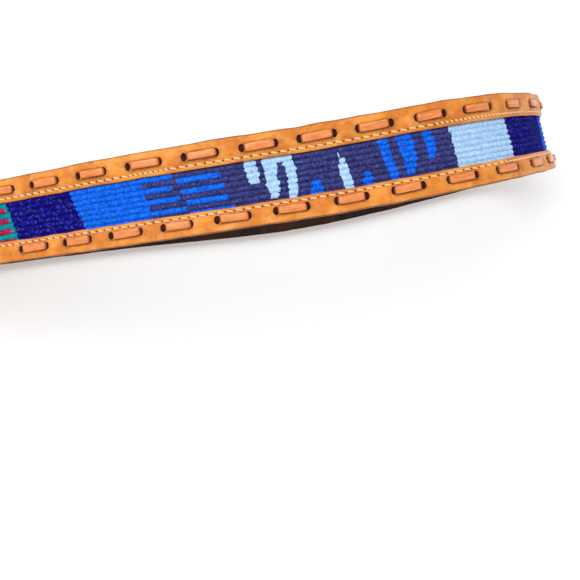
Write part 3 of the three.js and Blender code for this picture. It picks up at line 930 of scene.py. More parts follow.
@dataclass
class LacedBorder:
    """One leather border with its lace, its seam beside the band and its punched holes."""

    line: LoopLine
    side: Side
    width: float
    first: float
    close_seams: tuple[tuple[float, float], ...] = ()
    left_strays: tuple[float, ...] = ()
    right_strays: tuple[float, ...] = ()
    pitch: float = 24.73
    half_span: float = 7.25
    row: float = 13.8
    hole: tuple[float, float] = (1.3, 1.78)
    reach: tuple[float, float] = (2.7, 2.9)
    seam_inset: float = 1.6
    seam_pitch: float = 3.9
    seam_close: float = 2.3
    worn_end: float = 435.0
    recess: tuple[float, float] = (0.4, 0.16)
    pulled: float = 0.8
    pressed: float = 0.24
    wall: float = 1.1
    edge_round: float = 0.9
    lace_half: tuple[float, float] = (1.66, 0.5)

    def __post_init__(self) -> None:
        """Works out the holes, which stray a little by hand, and the stitches between them."""
        room = BAND_END - self.half_span - 1.2 - 5 - 2 * self.pitch / 3
        regular = np.arange(BAND_START + self.first, room, self.pitch)
        left, right = regular - self.half_span, regular + self.half_span
        left[: len(self.left_strays)] += self.left_strays
        right[: len(self.right_strays)] += self.right_strays
        self.middles = (left + right) / 2
        self.spans = (right - left) / 2
        self.holes = np.sort(np.concatenate((left, right)))
        self.hole_inset = self.row - STRAP_HALF + self.width
        self.label = self.side.name.lower()

    def nearest(self, distance: np.ndarray) -> np.ndarray:
        """The number of the stitch whose middle is nearest."""
        return np.abs(distance[..., None] - self.middles).argmin(-1)

    def from_middle(self, distance: np.ndarray) -> np.ndarray:
        """How far a place is from its stitch's middle, in units that put the holes at half_span."""
        near = self.nearest(distance)
        return np.abs(distance - self.middles[near]) * self.half_span / self.spans[near]

    def seam_phase(self, distance: np.ndarray) -> np.ndarray:
        """How many machine stitches lie before each distance, with the close stretches counted."""
        grid = np.arange(BAND_START - 5, BAND_END + 6, 1.0)
        density = np.full(len(grid), 1 / self.seam_pitch)
        for start, end in self.close_seams:
            density[(grid >= start) & (grid <= end)] = 1 / self.seam_close
        return np.interp(distance, grid, np.cumsum(density))

    def from_inside(self, inset: np.ndarray) -> np.ndarray:
        """The place across at a distance from the border's inner edge."""
        return self.side.value * (STRAP_HALF - self.width + inset)

    def face_height(self, distance: np.ndarray, inset: np.ndarray) -> np.ndarray:
        """Height of the border's outer face.

        A curve through the thin inner edge, the seam's dip and the rise to the full height, plus
        what the lace does: a recess under each stitch, a ridge on either side, a swell between
        stitches, and a dip with radial puckers at each hole. Slow waves roll over the whole.

        Args:
            distance: Distances round the loop.
            inset: Distances from the inner edge.

        Returns:
            Heights, in mm.
        """
        knots = (0.0, 0.25, 0.8, self.seam_inset, 2.3, 3.4, 4.4, self.width)
        height = np.interp(inset, knots, (0.72, 1.12, 1.36, 1.12, 1.55, 2.15, 2.36, 2.36))
        off = inset - self.hole_inset
        gone = self.from_middle(distance)
        under = 1 - smooth_step(gone, 5.6, 7.6)
        height = height - np.where(distance < self.worn_end, *self.recess) * under * bell(off, 0, 1.9, 6)
        height = height + 0.1 * under * bell(np.abs(off), 2.5, 0.6)
        height = height + 0.16 * smooth_step(gone, 8.6, 10.5) * bell(off, 0, 2.2)
        spot = ((gone - self.half_span - 0.9) / 2.1) ** 2 + (off / 2.3) ** 2
        height = height - 0.5 * np.exp(-spot)
        folds = 5 * np.arctan2(off, gone - self.half_span) + self.middles[self.nearest(distance)]
        pucker = 0.13 * np.cos(folds) * np.exp(-spot / 2.6)
        rolling = 0.1 * wander(distance, 5.0, 11 + self.side.value)
        rolling = rolling + 0.07 * wander(distance + 2.3 * inset, 2.6, 17)
        return height + pucker + rolling * smooth_step(inset, 0.6, 3.0)

    def wear(self, distance: np.ndarray, inset: np.ndarray) -> np.ndarray:
        """How dark the leather is painted: marks of use at the outer edge and round the holes, painted
        shade beside and below the laces.
        """
        off = inset - self.hole_inset
        gone = self.from_middle(distance)
        # Painted shade along the laces' sides, deeper on the lower side where less light falls.
        lower = np.where(off * self.side.value < 0, 0.8, 0.25)
        beside = (1 - smooth_step(gone, 6.2, 8.0)) * bell(np.abs(off), 1.95, 0.4) * lower
        round_hole = np.exp(-(((gone - self.half_span - 0.5) / 1.7) ** 2) - (off / 2.1) ** 2)
        edge = smooth_step(inset, self.width - 0.75, self.width - 0.2)
        inner = 1 - smooth_step(inset, 0.0, 0.25)
        return np.clip(beside + 0.5 * round_hole + 0.9 * edge + 0.35 * inner, 0, 0.95)

    def stations(self) -> np.ndarray:
        """Grid lines along the border, with lines at every hole's edges."""
        key = [BAND_START]
        steps: list[float] = []
        for hole in self.holes:
            key += [hole + off for off in (-self.reach[0], -self.hole[0], self.hole[0], self.reach[0])]
            steps += [1.1, 0.5, 0.66, 0.5]
        return lines_through(np.array([*key, BAND_END]), np.array([*steps, 1.1]))

    def insets(self) -> np.ndarray:
        """Grid lines across the flat of the border, with lines at the seam and the holes' edges."""
        middle, a, b = self.hole_inset, self.hole[1], self.reach[1]
        seam = self.seam_inset
        marks = (0, 0.12, 0.4, 0.9, 1.3, seam, 1.9, middle - b, middle - a, middle + a, middle + b)
        gaps = (0.2, 0.3, 0.5, 0.4, 0.3, 0.3, 0.5, 0.45, 0.6, 0.45)
        if middle - b < 1.9:
            marks, gaps = marks[:6] + marks[7:], gaps[:6] + gaps[7:]
        flat = lines_through(np.array(marks), np.array(gaps))
        return np.append(flat, np.linspace(middle + b, self.width - self.edge_round, 3)[1:])

    def leather(self, material: bpy.types.Material) -> None:
        """The border: an outer face and an inner face over one grid, with its holes open.

        Past the flat, four lines round the outer edge over and three take it down the strap's side.

        Args:
            material: The border leather's material.
        """
        stations, flat = self.stations(), self.insets()
        turn = np.radians(np.array([22, 45, 68, 90]))
        edge_out = self.width - self.edge_round + self.edge_round * np.sin(turn)
        edge_drop = self.edge_round * (1 - np.cos(turn))
        inset = np.concatenate((flat, edge_out, np.full(3, self.width)))
        drop = np.concatenate((np.zeros(len(flat)), edge_drop, np.zeros(3)))
        lip = np.concatenate((np.full(len(flat) + 4, np.nan), [0.9, 0.0, -0.9]))
        grid = np.meshgrid(stations, inset, indexing="ij")
        along, inwards = round_holes(*grid, self.holes, self.hole_inset, self.hole, self.reach)
        height = self.face_height(along, np.minimum(inwards, self.width)) - drop
        height = np.where(np.isnan(lip), height, lip)
        wavy = 0.22 * wander(along, 9.0, 3 + self.side.value)
        wavy = wavy * smooth_step(inwards, self.width - 3, self.width)
        ragged = 0.16 * wander(along, 7.0, 5 + self.side.value)
        wavy = wavy + ragged * (1 - smooth_step(inwards, 0, 1.2))
        count = len(flat) + 4
        inner_inset = inwards.copy()
        inner_inset[:, count - 3 :] = self.width - 1.6
        inner_height = np.maximum(height - self.wall, 0.32)
        inner_height[:, count - 3 : count] = 1.0
        inner_height[:, count:] = np.array([0.5, -0.2, -0.85])
        cells = (stations[:-1] + stations[1:])[:, None] / 2
        keep_s = (np.abs(cells - self.holes) < self.hole[0]).any(1)
        keep_v = np.abs((inset[:-1] + inset[1:]) / 2 - self.hole_inset) < self.hole[1]
        keep = ~(keep_s[:, None] & keep_v[None, :])
        order = slice(None) if self.side is Side.UPPER else slice(None, None, -1)
        beneath = self.from_inside(inner_inset + np.where(inner_inset < 1.2, wavy, 0.0))
        outer = self.line.place(along, self.from_inside(inwards + wavy), height)[:, order]
        inner = self.line.place(along, beneath, inner_height)[:, order]
        surface = sheet(outer, inner, keep[:, order])
        belt = laid_out(along[:, order], self.from_inside(inwards)[:, order])
        phase = self.seam_phase(along[:, order])
        seam = np.stack((phase, (inwards - self.seam_inset)[:, order]), -1).reshape(-1, 2)
        wear = self.wear(along, inwards)[:, order].ravel()
        surface.uvs["belt"] = np.tile(belt, (2, 1))
        surface.uvs["seam"] = np.concatenate((seam, seam + 50.3))
        # The inner face, and with it the walls of the lace holes, is darkened as painted shade.
        surface.values["wear"] = np.concatenate((wear, np.full(len(wear), 0.7)))
        piece = surface.trimmed().to_object(f"{self.label}_border_leather", material)
        set_in_belt(piece, "border_leather", f"{self.label}_border")

    def lace(self, material: bpy.types.Material) -> None:
        """The lace in its running stitch: a plump flat section, over and under the border.

        The section is (sign(cos) |cos|^0.55, sign(sin) |sin|^0.75) times its half width and half
        thickness; it narrows where it dives into a hole.

        Args:
            material: The lace leather's material.
        """
        gone = np.array([0, 1.6, 3.2, 4.4, 5.2, 5.8, 6.2, 6.5, 6.8, 7.2, 7.8, 8.8, 10.2, 11.4])
        over = [2.82, 2.82, 2.81, 2.78, 2.68, 2.42, 2.05]
        rise = np.array([*over, 1.6, 1.18, 0.82, 0.68, 0.66, 0.66, 0.66])
        offsets = np.concatenate((-gone[:0:-1], gone))
        heights = np.concatenate((rise[:0:-1], rise))
        rng = np.random.default_rng(31 + self.side.value)
        count = len(self.middles)
        skew, plump = rng.uniform(-0.3, 0.3, count), rng.uniform(-0.06, 0.06, count)
        wide = rng.uniform(0.93, 1.05, count)
        plump = plump - np.where(self.middles < self.worn_end, self.pressed, 0.0)
        pull = self.pulled * np.clip((self.line.bow_place - self.middles) / 50, -1, 1)
        scaled = offsets * self.spans[:, None] / self.half_span
        distance = (self.middles[:, None] + pull[:, None] + scaled).ravel()
        height = (heights + plump[:, None] * (np.abs(offsets) < 5)).ravel()
        across = (skew[:, None] * np.clip(offsets / self.half_span, -1, 1)).ravel()
        pinch = 1 - 0.16 * bell(np.abs(offsets), 7.0, 1.3)
        half_width = (self.lace_half[0] * wide[:, None] * pinch).ravel()
        thin = 0.1 * smooth_step(np.abs(offsets), 5.0, 6.6)
        thick = self.lace_half[1] - thin - 0.06 * smooth_step(np.abs(offsets), 7.2, 8.4)
        along, up = heading_of(distance, height)
        turn = full_turn(14)[::-1]
        flat, deep = fattened(np.cos(turn), 0.55), fattened(np.sin(turn), 0.75)
        x = half_width[:, None] * flat
        y = np.tile(thick, count)[:, None] * deep
        places = self.side.value * (self.row + across)[:, None] + x
        raised = height[:, None] + along[:, None] * y
        points = self.line.place(distance[:, None] - up[:, None] * y, places, raised)
        surface = tube(points).facing_out()
        surface.uvs["belt"] = laid_out(distance[:, None], x + 2 * y)
        # Painted shade: dark where the lace dives into a hole, and along its sides, most on the lower
        # side.
        dive = np.tile(smooth_step(np.abs(offsets), 5.6, 6.6), count)[:, None]
        lower = np.where(flat < 0, 0.6, 0.2)
        rim = lower * smooth_step(np.abs(flat), 0.9, 1.0) * (1 - np.clip(deep, 0, 1) ** 2)
        surface.values["wear"] = np.clip(dive + rim[None, :], 0, 0.97).ravel()
        piece = surface.to_object(f"{self.label}_lace_thong", material, ROUND)
        set_in_belt(piece, "lace_leather", f"{self.label}_lace")

    def seam(self, material: bpy.types.Material) -> None:
        """The machine seam: a short arched thread between each two needle holes, a little askew.

        Args:
            material: The thread's material.
        """
        grid = np.arange(BAND_START + 1, BAND_END - 1, 0.5)
        phase = self.seam_phase(grid)
        whole = np.arange(math.ceil(phase[0]), math.floor(phase[-1]) + 1)
        holes = np.interp(whole, phase, grid)
        length = np.diff(holes)[:, None]
        distance = holes[:-1, None] + length * (0.16 + 0.68 * STITCH_STEPS)
        askew = 0.3 * (1 - 2 * STITCH_STEPS) * self.side.value
        inset = self.seam_inset + askew + 0 * distance
        height = self.face_height(distance, inset) + np.array([-0.12, 0.2, 0.34, 0.2, -0.12])
        turn = full_turn(7)[::-1]
        radius = np.array([0.26, 0.44, 0.5, 0.44, 0.26])[:, None]
        across = self.from_inside(inset)[..., None] + radius * np.cos(turn)
        tall = height[..., None] + radius * 0.8 * np.sin(turn)
        surface = tubes(self.line.place(distance[..., None], across, tall)).facing_out()
        surface.uvs["ply"] = wound((distance - holes[:-1, None])[..., None], turn, across.shape)
        piece = surface.to_object(f"{self.label}_seam_thread", material, ROUND)
        set_in_belt(piece, "lace_leather")


@dataclass
class Lining:
    """The dark leather that backs the strap and shows on the inside of the loop."""

    line: LoopLine
    top: float = -1.2
    wall: float = 1.6
    corner: float = 0.6
    start: float = 90.0
    end: float = 925.83

    def build(self, material: bpy.types.Material) -> None:
        """A flat strip whose two inner edges are rounded by quarter circles.

        Args:
            material: The lining's material.
        """
        station = np.linspace(self.start, self.end, 620)
        turn = np.radians(np.linspace(0, 90, 5))
        corner_v = STRAP_HALF - self.corner + self.corner * np.cos(turn)
        corner_h = self.top - self.wall + self.corner - self.corner * np.sin(turn)
        top_v = np.linspace(-STRAP_HALF, STRAP_HALF, 5)
        flat_v = np.linspace(STRAP_HALF - self.corner, -STRAP_HALF + self.corner, 11)[1:-1]
        across = np.concatenate((top_v, corner_v, flat_v, -corner_v[::-1]))
        flat_h = np.full(9, self.top - self.wall)
        height = np.concatenate((np.full(5, self.top), corner_h, flat_h, corner_h[::-1]))
        ripple = 0.06 * wander(station[:, None] + 3 * across, 8.0, 41) * (height < self.top - 0.5)
        points = self.line.place(station[:, None], across[None, :], height + ripple)
        piece = tube(points).facing_out().to_object("lining_leather_strip", material)
        set_in_belt(piece, "lining_leather", "backing")


@dataclass
class EndLeather:
    """What the leather ends share: their line, and the crease pressed along their edges."""

    line: LoopLine
    crease_inset: float = 2.6
    crease_depth: float = 0.3

    def crease(self, across: np.ndarray, half: np.ndarray) -> np.ndarray:
        """Depth of the line pressed along the edges."""
        return self.crease_depth * bell(half - np.abs(across), self.crease_inset, 0.35)


@dataclass
class TipEnd(EndLeather):
    """The tip end: two layers of border leather with a rounded point and punched holes."""

    start: float = 105.7
    end: float = -2.0
    point: float = 20.0
    hole: float = 2.9
    hole_places: tuple[float, ...] = (10.7, 29.7, 48.7, 67.7, 86.7)
    hole_reach: tuple[float, float] = (5.4, 1.86 * 2.9)
    seam_place: float = 102.5

    def lines(self) -> np.ndarray:
        """Places of the grid's lines across the sheet, with lines at a hole's edges."""
        half, hole = END_HALF, self.hole
        creased = [half - 3.4, half - 3.0, half - 2.6, half - 2.2, half - 1.0]
        marks = np.array([0, hole, 1.86 * hole, *creased])
        steps = np.array([hole / 4, hole / 4, 2.0, 0.4, 0.4, 0.4, 0.7])
        edge = half - np.array([0.45, 0.12, 0.0, 0.0, 0.18])
        right = np.concatenate((lines_through(marks, steps), edge))
        return np.concatenate((-right[:0:-1], right))

    def edge_profile(self, count: int) -> tuple[np.ndarray, np.ndarray]:
        """Drops of the outer face and rises of the inner one near both edges, for two layers."""
        drop, rise = np.zeros(count), np.zeros(count)
        half = TIP_WALL / 2
        outer = np.array([0.1, 0.38, 0.75, half - 0.1, half])
        inner = np.array([0.08, 0.35, 0.7, half - 0.1, half - 0.02])
        drop[-5:], rise[-5:] = outer, inner
        drop[:5], rise[:5] = outer[::-1], inner[::-1]
        return drop, rise

    def foot(self, distance: np.ndarray) -> np.ndarray:
        """Height of its inner face: on the lining, up over the bar and down on the folded end."""
        places = (-10, 55.0, 60.6, 67.0, 86.0, 120)
        heights = (1.2, 1.2, 1.9, 1.9, TIP_LAP, TIP_LAP)
        shifts = np.array([-1.6, -0.8, 0.0, 0.8, 1.6])
        return np.interp(distance[..., None] + shifts, places, heights).mean(-1)

    def half_width(self, distance: np.ndarray) -> np.ndarray:
        """Half of the width: tapered from the strap over 12 mm, a quarter ellipse at the point."""
        taper = np.interp(self.start + 0.3 - distance, (0, 12), (STRAP_HALF, END_HALF))
        past = np.clip(1 - (distance - self.end) / self.point, 0, 0.992)
        return taper * np.sqrt(1 - past * past)

    def build(self, leather: bpy.types.Material, thread: bpy.types.Material) -> None:
        """The sheet with its holes, and the short seam that holds it to the strap.

        Args:
            leather: The border leather's material.
            thread: The thread's material.
        """
        middles, (reach, side_reach) = np.array(self.hole_places), self.hole_reach
        tip = self.end + self.point * (1 - np.cos(np.radians(np.linspace(5, 34, 12))))
        tip = tip[tip < self.hole_places[0] - 5.7]
        edges = (-reach, -self.hole, self.hole, reach)
        breaks = [m + edge for m in self.hole_places for edge in edges]
        steps = np.array([0.7, 0.73, 0.7, 1.2] * len(middles))
        stations = np.concatenate((tip, lines_through(np.array([*breaks, self.start]), steps)))
        lines = self.lines()
        grid = np.meshgrid(stations, lines, indexing="ij")
        square = (self.hole, self.hole)
        along, moved = round_holes(*grid, middles, 0.0, square, self.hole_reach)
        half = self.half_width(along)
        ease = smooth_step(along, 6.0, 20.0)
        unsqueezed = moved * (ease + (1 - ease) * half / END_HALF)
        flat = np.abs(moved) <= side_reach + 0.01
        across = np.where(flat, unsqueezed, moved / END_HALF * half)
        drop, rise = self.edge_profile(len(lines))
        end_round = 0.8 * (1 - smooth_step(stations, self.end, self.end + 1.4))[:, None]
        foot = self.foot(along)
        creased = self.crease(across, half)
        top = foot + TIP_WALL - drop - creased - end_round
        under = foot + rise + 0.4 * end_round
        cells, ways = (stations[:-1] + stations[1:])[:, None] / 2, (lines[:-1] + lines[1:]) / 2
        in_hole = (np.abs(cells - middles) < self.hole).any(1)
        keep = ~(in_hole[:, None] & (np.abs(ways) < self.hole)[None, :])
        place = self.line.place
        surface = sheet(place(along, across, top), place(along, across, under), keep)
        around = np.min(np.hypot(along[..., None] - middles, across[..., None]), axis=-1)
        wear = 0.6 * bell(around, self.hole, 0.7)
        wear = wear + 0.55 * smooth_step(half - np.abs(across), 0.7, 0.0)
        wear = np.clip(wear + 0.6 * creased / self.crease_depth, 0, 0.85).ravel()
        surface.uvs["belt"] = np.tile(laid_out(along, across), (2, 1))
        surface.uvs["seam"] = np.full((2 * len(wear), 2), NO_SEAM)
        surface.values["wear"] = np.concatenate((wear, np.full(len(wear), 0.4)))
        piece = surface.trimmed().to_object("tip_end_leather", leather)
        set_in_belt(piece, "border_leather", "tip_tab")
        self.seam(thread)

    def seam(self, material: bpy.types.Material) -> None:
        """A row of stitches across the strap where the tip end is sewn to it.

        Args:
            material: The thread's material.
        """
        across = np.linspace(-12.0, 12.0, 7)[:, None] + 3.0 * (STITCH_STEPS - 0.5)
        face = self.foot(np.full(1, self.seam_place)) + TIP_WALL
        height = face + np.array([-0.15, 0.16, 0.3, 0.16, -0.15]) + 0 * across
        turn = full_turn(7)
        radius = np.array([0.22, 0.33, 0.36, 0.33, 0.22])[:, None]
        askew = self.seam_place + 0.25 * (STITCH_STEPS - 0.5)[:, None]
        tall = height[..., None] + 0.8 * radius * np.sin(turn)
        points = self.line.place(askew + radius * np.cos(turn), across[..., None], tall)
        surface = tubes(points).facing_out()
        surface.uvs["ply"] = wound(across[..., None], turn, tall.shape)
        set_in_belt(surface.to_object("tip_seam_thread", material, ROUND), "lace_leather")


@dataclass
class BuckleEnd(EndLeather):
    """The buckle end: a leather strip folded round the bar, with a slot for the prong."""

    start: float = -8.7
    bulge: float = 58.4
    wall: float = 1.8
    fold: float = 2.7
    slot: float = 2.2
    slot_start: float = 60.4

    def path(self) -> tuple[np.ndarray, np.ndarray]:
        """Distances and heights: out along the outer layer, round the bar, back along the inner."""
        out = np.linspace(self.start, self.bulge, 60)
        ramp = np.linspace(self.bulge, BAR_PLACE, 8)[1:]
        ease = 0.7 * smooth_step(ramp, self.bulge, BAR_PLACE)
        turn = np.radians(np.linspace(90, -90, 17))[1:]
        bend_s = BAR_PLACE + self.fold * np.cos(turn)
        bend_h = BAR_HEIGHT + self.fold * np.sin(turn)
        back_h = 2 * BAR_HEIGHT - ease[::-1][1:]
        path_s = np.concatenate((out, ramp, bend_s, ramp[::-1][1:], out[::-1]))
        path_h = np.concatenate((0 * out, ease, bend_h, back_h, 0 * out + 2 * BAR_HEIGHT))
        return path_s, path_h

    def build(self, material: bpy.types.Material) -> None:
        """The strip along its path, thinner at its edges, with its slot open.

        Args:
            material: The border leather's material.
        """
        path_s, path_h = self.path()
        lead_s, lead_h = heading_of(path_s, path_h)
        breaks = np.array([0, self.slot, END_HALF - 3.4, END_HALF - 1])
        inner = lines_through(breaks, np.array([1.1, 2.0, 0.4]))
        right = np.concatenate((inner, END_HALF - np.array([0.45, 0.12, 0.0])))
        lines = np.concatenate((-right[:0:-1], right))
        thin = np.zeros(len(lines))
        thin[-3:], thin[:3] = (0.08, 0.3, 0.62), (0.62, 0.3, 0.08)
        thick = self.wall / 2 - thin
        press = self.crease(lines, np.full(len(lines), END_HALF))
        outer, under = (
            self.line.place(
                path_s[:, None] - lead_h[:, None] * reach, lines[None, :],
                path_h[:, None] + lead_s[:, None] * reach,
            )
            for reach in (thick - press, -thick)
        )
        in_slot = ((path_s[:-1] + path_s[1:]) / 2 > self.slot_start)[:, None] & (
            np.abs((lines[:-1] + lines[1:]) / 2) < self.slot
        )
        surface = sheet(outer, under, ~in_slot)
        run = np.cumsum(np.hypot(np.gradient(path_s), np.gradient(path_h)))[:, None]
        wear = 0.6 * (press / self.crease_depth + (thin > 0.2)) + 0 * run
        surface.uvs["belt"] = np.tile(laid_out(run, lines[None, :]), (2, 1))
        surface.uvs["seam"] = np.full((2 * wear.size, 2), NO_SEAM)
        surface.values["wear"] = np.clip(np.tile(wear.ravel(), 2), 0, 0.8)
        piece = surface.trimmed().to_object("buckle_end_leather", material)
        set_in_belt(piece, "border_leather", "buckle_tab")


@dataclass
class Keeper:
    """The leather loop round both ends."""

    line: LoopLine
    start: float = 34.2
    end: float = 44.2
    half: float = 18.6
    bottom: float = -6.0
    top: float = 5.3
    wall: float = 1.6
    corner: float = 2.2

    def build(self, material: bpy.types.Material) -> None:
        """A flat rounded section carried round a rectangle with rounded corners.

        Args:
            material: The border leather's material.
        """
        turns = [np.radians(np.linspace(a, a - 90, 7)) for a in (180, 90, 0, -90)]
        side, high, low = self.half - self.corner, self.top - self.corner, self.bottom + self.corner
        centres = ((-side, high), (side, high), (side, low), (-side, low))
        normal = np.concatenate([np.stack((np.cos(t), np.sin(t)), -1) for t in turns])
        path = np.repeat(centres, len(turns[0]), axis=0) + self.corner * normal
        angle = full_turn(28)
        reach = (self.end - self.start) / 2
        wide = reach * fattened(np.cos(angle), 0.3)
        deep = self.wall / 2 * fattened(np.sin(angle), 0.45)
        deep = deep - 0.22 * (deep > 0) * bell(reach - np.abs(wide), 1.7, 0.4)
        across = path[:, :1] + normal[:, :1] * deep
        height = path[:, 1:] + normal[:, 1:] * deep
        middle = (self.start + self.end) / 2
        points = self.line.place((middle + wide)[None, :], across, height)
        surface = tube(points, closed=True).facing_out()
        around = np.arange(len(path))[:, None] * 3.0
        surface.uvs["belt"] = laid_out(around, wide[None, :])
        surface.uvs["seam"] = np.full((len(surface.points), 2), NO_SEAM)
        rim = 0.55 * smooth_step(np.abs(wide), 4.3, 5.0) + 0 * around
        surface.values["wear"] = rim.ravel()
        set_in_belt(surface.to_object("keeper_leather", material), "border_leather", "keeper")


@dataclass
class Buckle:
    """The frame buckle with its bar and its prong, fastened."""

    line: LoopLine
    half: float = 19.5
    rim: float = 4.0
    wall: float = 3.2
    reach: float = 27.0
    corner: float = 4.0
    clearance: float = 0.3
    bar_radius: float = 1.5
    prong_radius: float = 1.4

    def __post_init__(self) -> None:
        """Works out where the frame's front edge lies on the tip, and the lean from bar to edge."""
        self.level = TIP_LAP + TIP_WALL + self.clearance + self.wall / 2
        front = self.level + (self.level - BAR_HEIGHT) / self.reach * self.rim / 2
        self.lean = math.atan2(front - BAR_HEIGHT, self.reach)

    def frame(self) -> Surface:
        """The frame: a rounded section, (cos, sin) to the powers 0.6 and 0.7, along a U."""
        side = self.half + self.rim / 2
        straight = self.reach - self.corner
        turn = np.radians(np.linspace(-90, 0, 10))
        x = np.concatenate((np.linspace(-1.5, straight, 12)[:-1], straight + self.corner * np.cos(turn)))
        y = np.concatenate((np.full(11, -side), -side + self.corner + self.corner * np.sin(turn)))
        x, y = np.concatenate((x, x[::-1])), np.concatenate((y, -y[::-1]))
        lead_x, lead_y = heading_of(x, y)
        angle = full_turn(20)
        wide = self.rim / 2 * fattened(np.cos(angle), 0.6)
        deep = self.wall / 2 * fattened(np.sin(angle), 0.7)
        end = np.ones(len(x))
        end[[0, -1]] = 0.8
        px = x[:, None] + (lead_y * end)[:, None] * wide
        py = y[:, None] - (lead_x * end)[:, None] * wide
        rise = end[:, None] * deep
        cosine, sine = math.cos(self.lean), math.sin(self.lean)
        distance = BAR_PLACE + px * cosine - rise * sine
        return tube(self.line.place(distance, py, BAR_HEIGHT + px * sine + rise * cosine)).facing_out()

    def bar(self) -> Surface:
        """The round bar through the fold."""
        across = np.linspace(-self.half - 1.5, self.half + 1.5, 9)[:, None]
        angle = full_turn(20)[None, :]
        distance = BAR_PLACE + self.bar_radius * np.cos(angle)
        height = BAR_HEIGHT + self.bar_radius * np.sin(angle)
        return tube(self.line.place(distance, across, height)).facing_out()

    def prong(self) -> Surface:
        """The prong: round at the bar, up through the tip's hole, flatter to its narrow end."""
        lift = (3.4 + 2.6) / self.reach * 2
        rest = self.level + lift + self.wall / 2 + self.prong_radius - 0.2
        places = np.array([63.9, 64.6, 66.3, 67.2, 68.4, 70.6, 73.3, 80.0, 88.0, 92.5, 94.0])
        rising = [-2.0, -1.7, -0.9, 1.6, 4.9, 6.6]
        heights = np.array([*rising, rest, rest, rest, rest - 0.1, rest - 0.4])
        share = np.linspace(0, 1, 41)
        knots = np.linspace(0, 1, len(places))
        path_s, path_h = np.interp(share, knots, places), np.interp(share, knots, heights)
        for path in (path_s, path_h):
            for _ in range(3):
                path[1:-1] = (path[:-2] + 2 * path[1:-1] + path[2:]) / 4
        lead_s, lead_h = heading_of(path_s, path_h)
        tapers = (0, 0.6, 0.93, 1)
        wide = self.prong_radius * np.interp(share, tapers, (1.0, 1.0, 0.85, 0.35))
        deep = self.prong_radius * np.interp(share, tapers, (0.95, 0.9, 0.75, 0.3))
        angle = full_turn(18)
        y = deep[:, None] * np.sin(angle)
        distance = path_s[:, None] - lead_h[:, None] * y
        height = path_h[:, None] + lead_s[:, None] * y
        across = wide[:, None] * np.cos(angle)
        return tube(self.line.place(distance, across, height)).facing_out()

    def eye(self) -> Surface:
        """The prong's eye, a ring bent round the bar."""
        turn, angle = full_turn(28)[:, None], full_turn(10)[None, :]
        ring = self.bar_radius + 0.55 + 0.5 * np.cos(angle)
        distance, height = BAR_PLACE + ring * np.cos(turn), BAR_HEIGHT + ring * np.sin(turn)
        points = self.line.place(distance, 1.3 * np.sin(angle), height)
        return tube(points, closed=True).facing_out()

    def build(self, material: bpy.types.Material) -> None:
        """Frame, bar, eye and prong as one piece.

        Args:
            material: The brass.
        """
        surface = joined([self.frame(), self.bar(), self.eye(), self.prong()])
        set_in_belt(surface.to_object("brass_buckle", material, 40.0), "buckle_brass", "buckle")


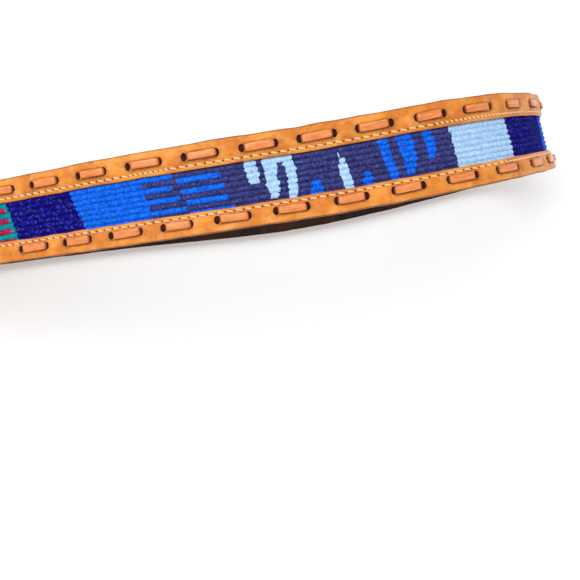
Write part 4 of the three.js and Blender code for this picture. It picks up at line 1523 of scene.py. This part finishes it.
@dataclass
class Studio:
    """The pale floor, the soft lights and the camera, straight above and a little to the left."""

    line: LoopLine
    focal: float = 600 / 580 * 36
    floor_half: float = 3.0
    aim: tuple[float, float, float] = (0.0, 0.0, 0.08)
    eye_off: tuple[float, float, float] = (-24.44, -26.58, 253.31)
    eye_turn: tuple[tuple[float, float, float], ...] = (
        (0.98562, 0.16899, 0.0), (-0.16842, 0.98235, 0.08141), (0.01376, -0.08024, 0.99668),
    )

    def floor(self) -> None:
        """A wide plain floor of matt white paper under the belt."""
        half = self.floor_half
        corners = [(-half, -half, 0.0), (half, -half, 0.0), (half, half, 0.0), (-half, half, 0.0)]
        mesh = bpy.data.meshes.new("studio_floor")
        mesh.from_pydata(corners, [], [(0, 1, 2, 3)])
        material = bpy.data.materials.new("floor_paper")
        material.use_nodes = True
        paper = {"Base Color": linear("#FBFBFB"), "Roughness": 0.9}
        plug(material.node_tree.nodes["Principled BSDF"], paper)
        mesh.materials.append(material)
        floor = bpy.data.objects.new("studio_floor", mesh)
        bpy.context.scene.collection.objects.link(floor)

    def light(self, name: str, place: tuple[float, float, float], size: float, power: float) -> None:
        """Adds a square soft light that looks at the belt's middle.

        Args:
            name: Its name.
            place: Where it stands, in metres.
            size: Length of its side, in metres.
            power: Its power, in watts.
        """
        data = bpy.data.lights.new(name, "AREA")
        data.shape, data.size, data.energy = "SQUARE", size, power
        lamp = bpy.data.objects.new(name, data)
        lamp.location = place
        away = Vector(self.aim) - lamp.location
        lamp.rotation_mode = "QUATERNION"
        lamp.rotation_quaternion = away.to_track_quat("-Z", "Y")
        bpy.context.scene.collection.objects.link(lamp)

    def camera(self) -> None:
        """The camera: over the near strand, rolled 9.7 degrees and tipped 4.7 degrees."""
        data = bpy.data.cameras.new("camera")
        data.lens, data.sensor_width = self.focal, 36.0
        data.clip_start, data.clip_end = 0.01, 20.0
        eye = bpy.data.objects.new("camera", data)
        target = self.line.place(np.array(self.line.bow_place), np.array(0.0), np.array(0.0))
        shift = Matrix.Translation(target + np.array(self.eye_off) * MM)
        eye.matrix_world = shift @ Matrix(self.eye_turn).to_4x4()
        bpy.context.scene.collection.objects.link(eye)
        bpy.context.scene.camera = eye

    def build(self) -> None:
        """Sets up the floor, lights, surroundings and camera."""
        self.floor()
        self.camera()
        self.light("key_light", (-0.35, 0.55, 0.95), 0.9, 8.0)
        self.light("fill_light", (0.6, -0.5, 0.9), 1.2, 2.0)
        world = bpy.data.worlds.new("studio")
        world.use_nodes = True
        surroundings = {"Color": linear("#FFFFFF"), "Strength": 0.8}
        plug(world.node_tree.nodes["Background"], surroundings)
        bpy.context.scene.world = world
        bpy.context.scene.view_settings.view_transform = "Standard"


def main() -> None:
    """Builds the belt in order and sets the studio."""
    logging.basicConfig(level=logging.INFO, format="%(message)s")
    line = LoopLine.over_the_frame()
    leather = BorderLeather("border_leather_tan", 0.42).material()
    thong = ThongLeather("lace_leather_pink_tan", 0.34).material()
    thread = SewingThread("sewing_thread_cream", 0.5).material()
    WovenBand(line).build(WoolWeave("wool_weave_band", 0.85).material())
    upper = LacedBorder(
        line, Side.UPPER, 10.6, 12.5, ((186.0, 204.0), (318.0, 372.0)),
        (0.0, 0.2, 0.9, 0.6, 0.9, 0.6, 0.2, 0.2, 0.4, -1.7, 0.5, 0.9),
        (-0.8, -0.5, -0.4, 0.4, 0.2, 0.2, 0.3, -0.3, -1.9, -1.6, -3.0, -2.0),
    )
    lower = LacedBorder(
        line, Side.LOWER, 9.6, 22.9, ((352.0, 372.0),),
        (2.3, 2.7, 2.2, 1.8, 0.4, 0.3, 1.1, 0.4, -0.9, -0.4, 1.8),
        (2.6, 1.5, 1.6, -0.7, -1.0, -1.1, -1.1, -2.0, -2.1, -1.2, 0.1),
    )
    for border in (upper, lower):
        border.leather(leather)
        border.lace(thong)
        border.seam(thread)
    Lining(line).build(LiningLeather("lining_leather_dark_shaded", 0.6).material())
    TipEnd(line).build(leather, thread)
    BuckleEnd(line).build(leather)
    Keeper(line).build(leather)
    Buckle(line).build(SatinBrass("buckle_brass_satin", 0.3).material())
    Studio(line).build()


if __name__ == "__main__":
    main()
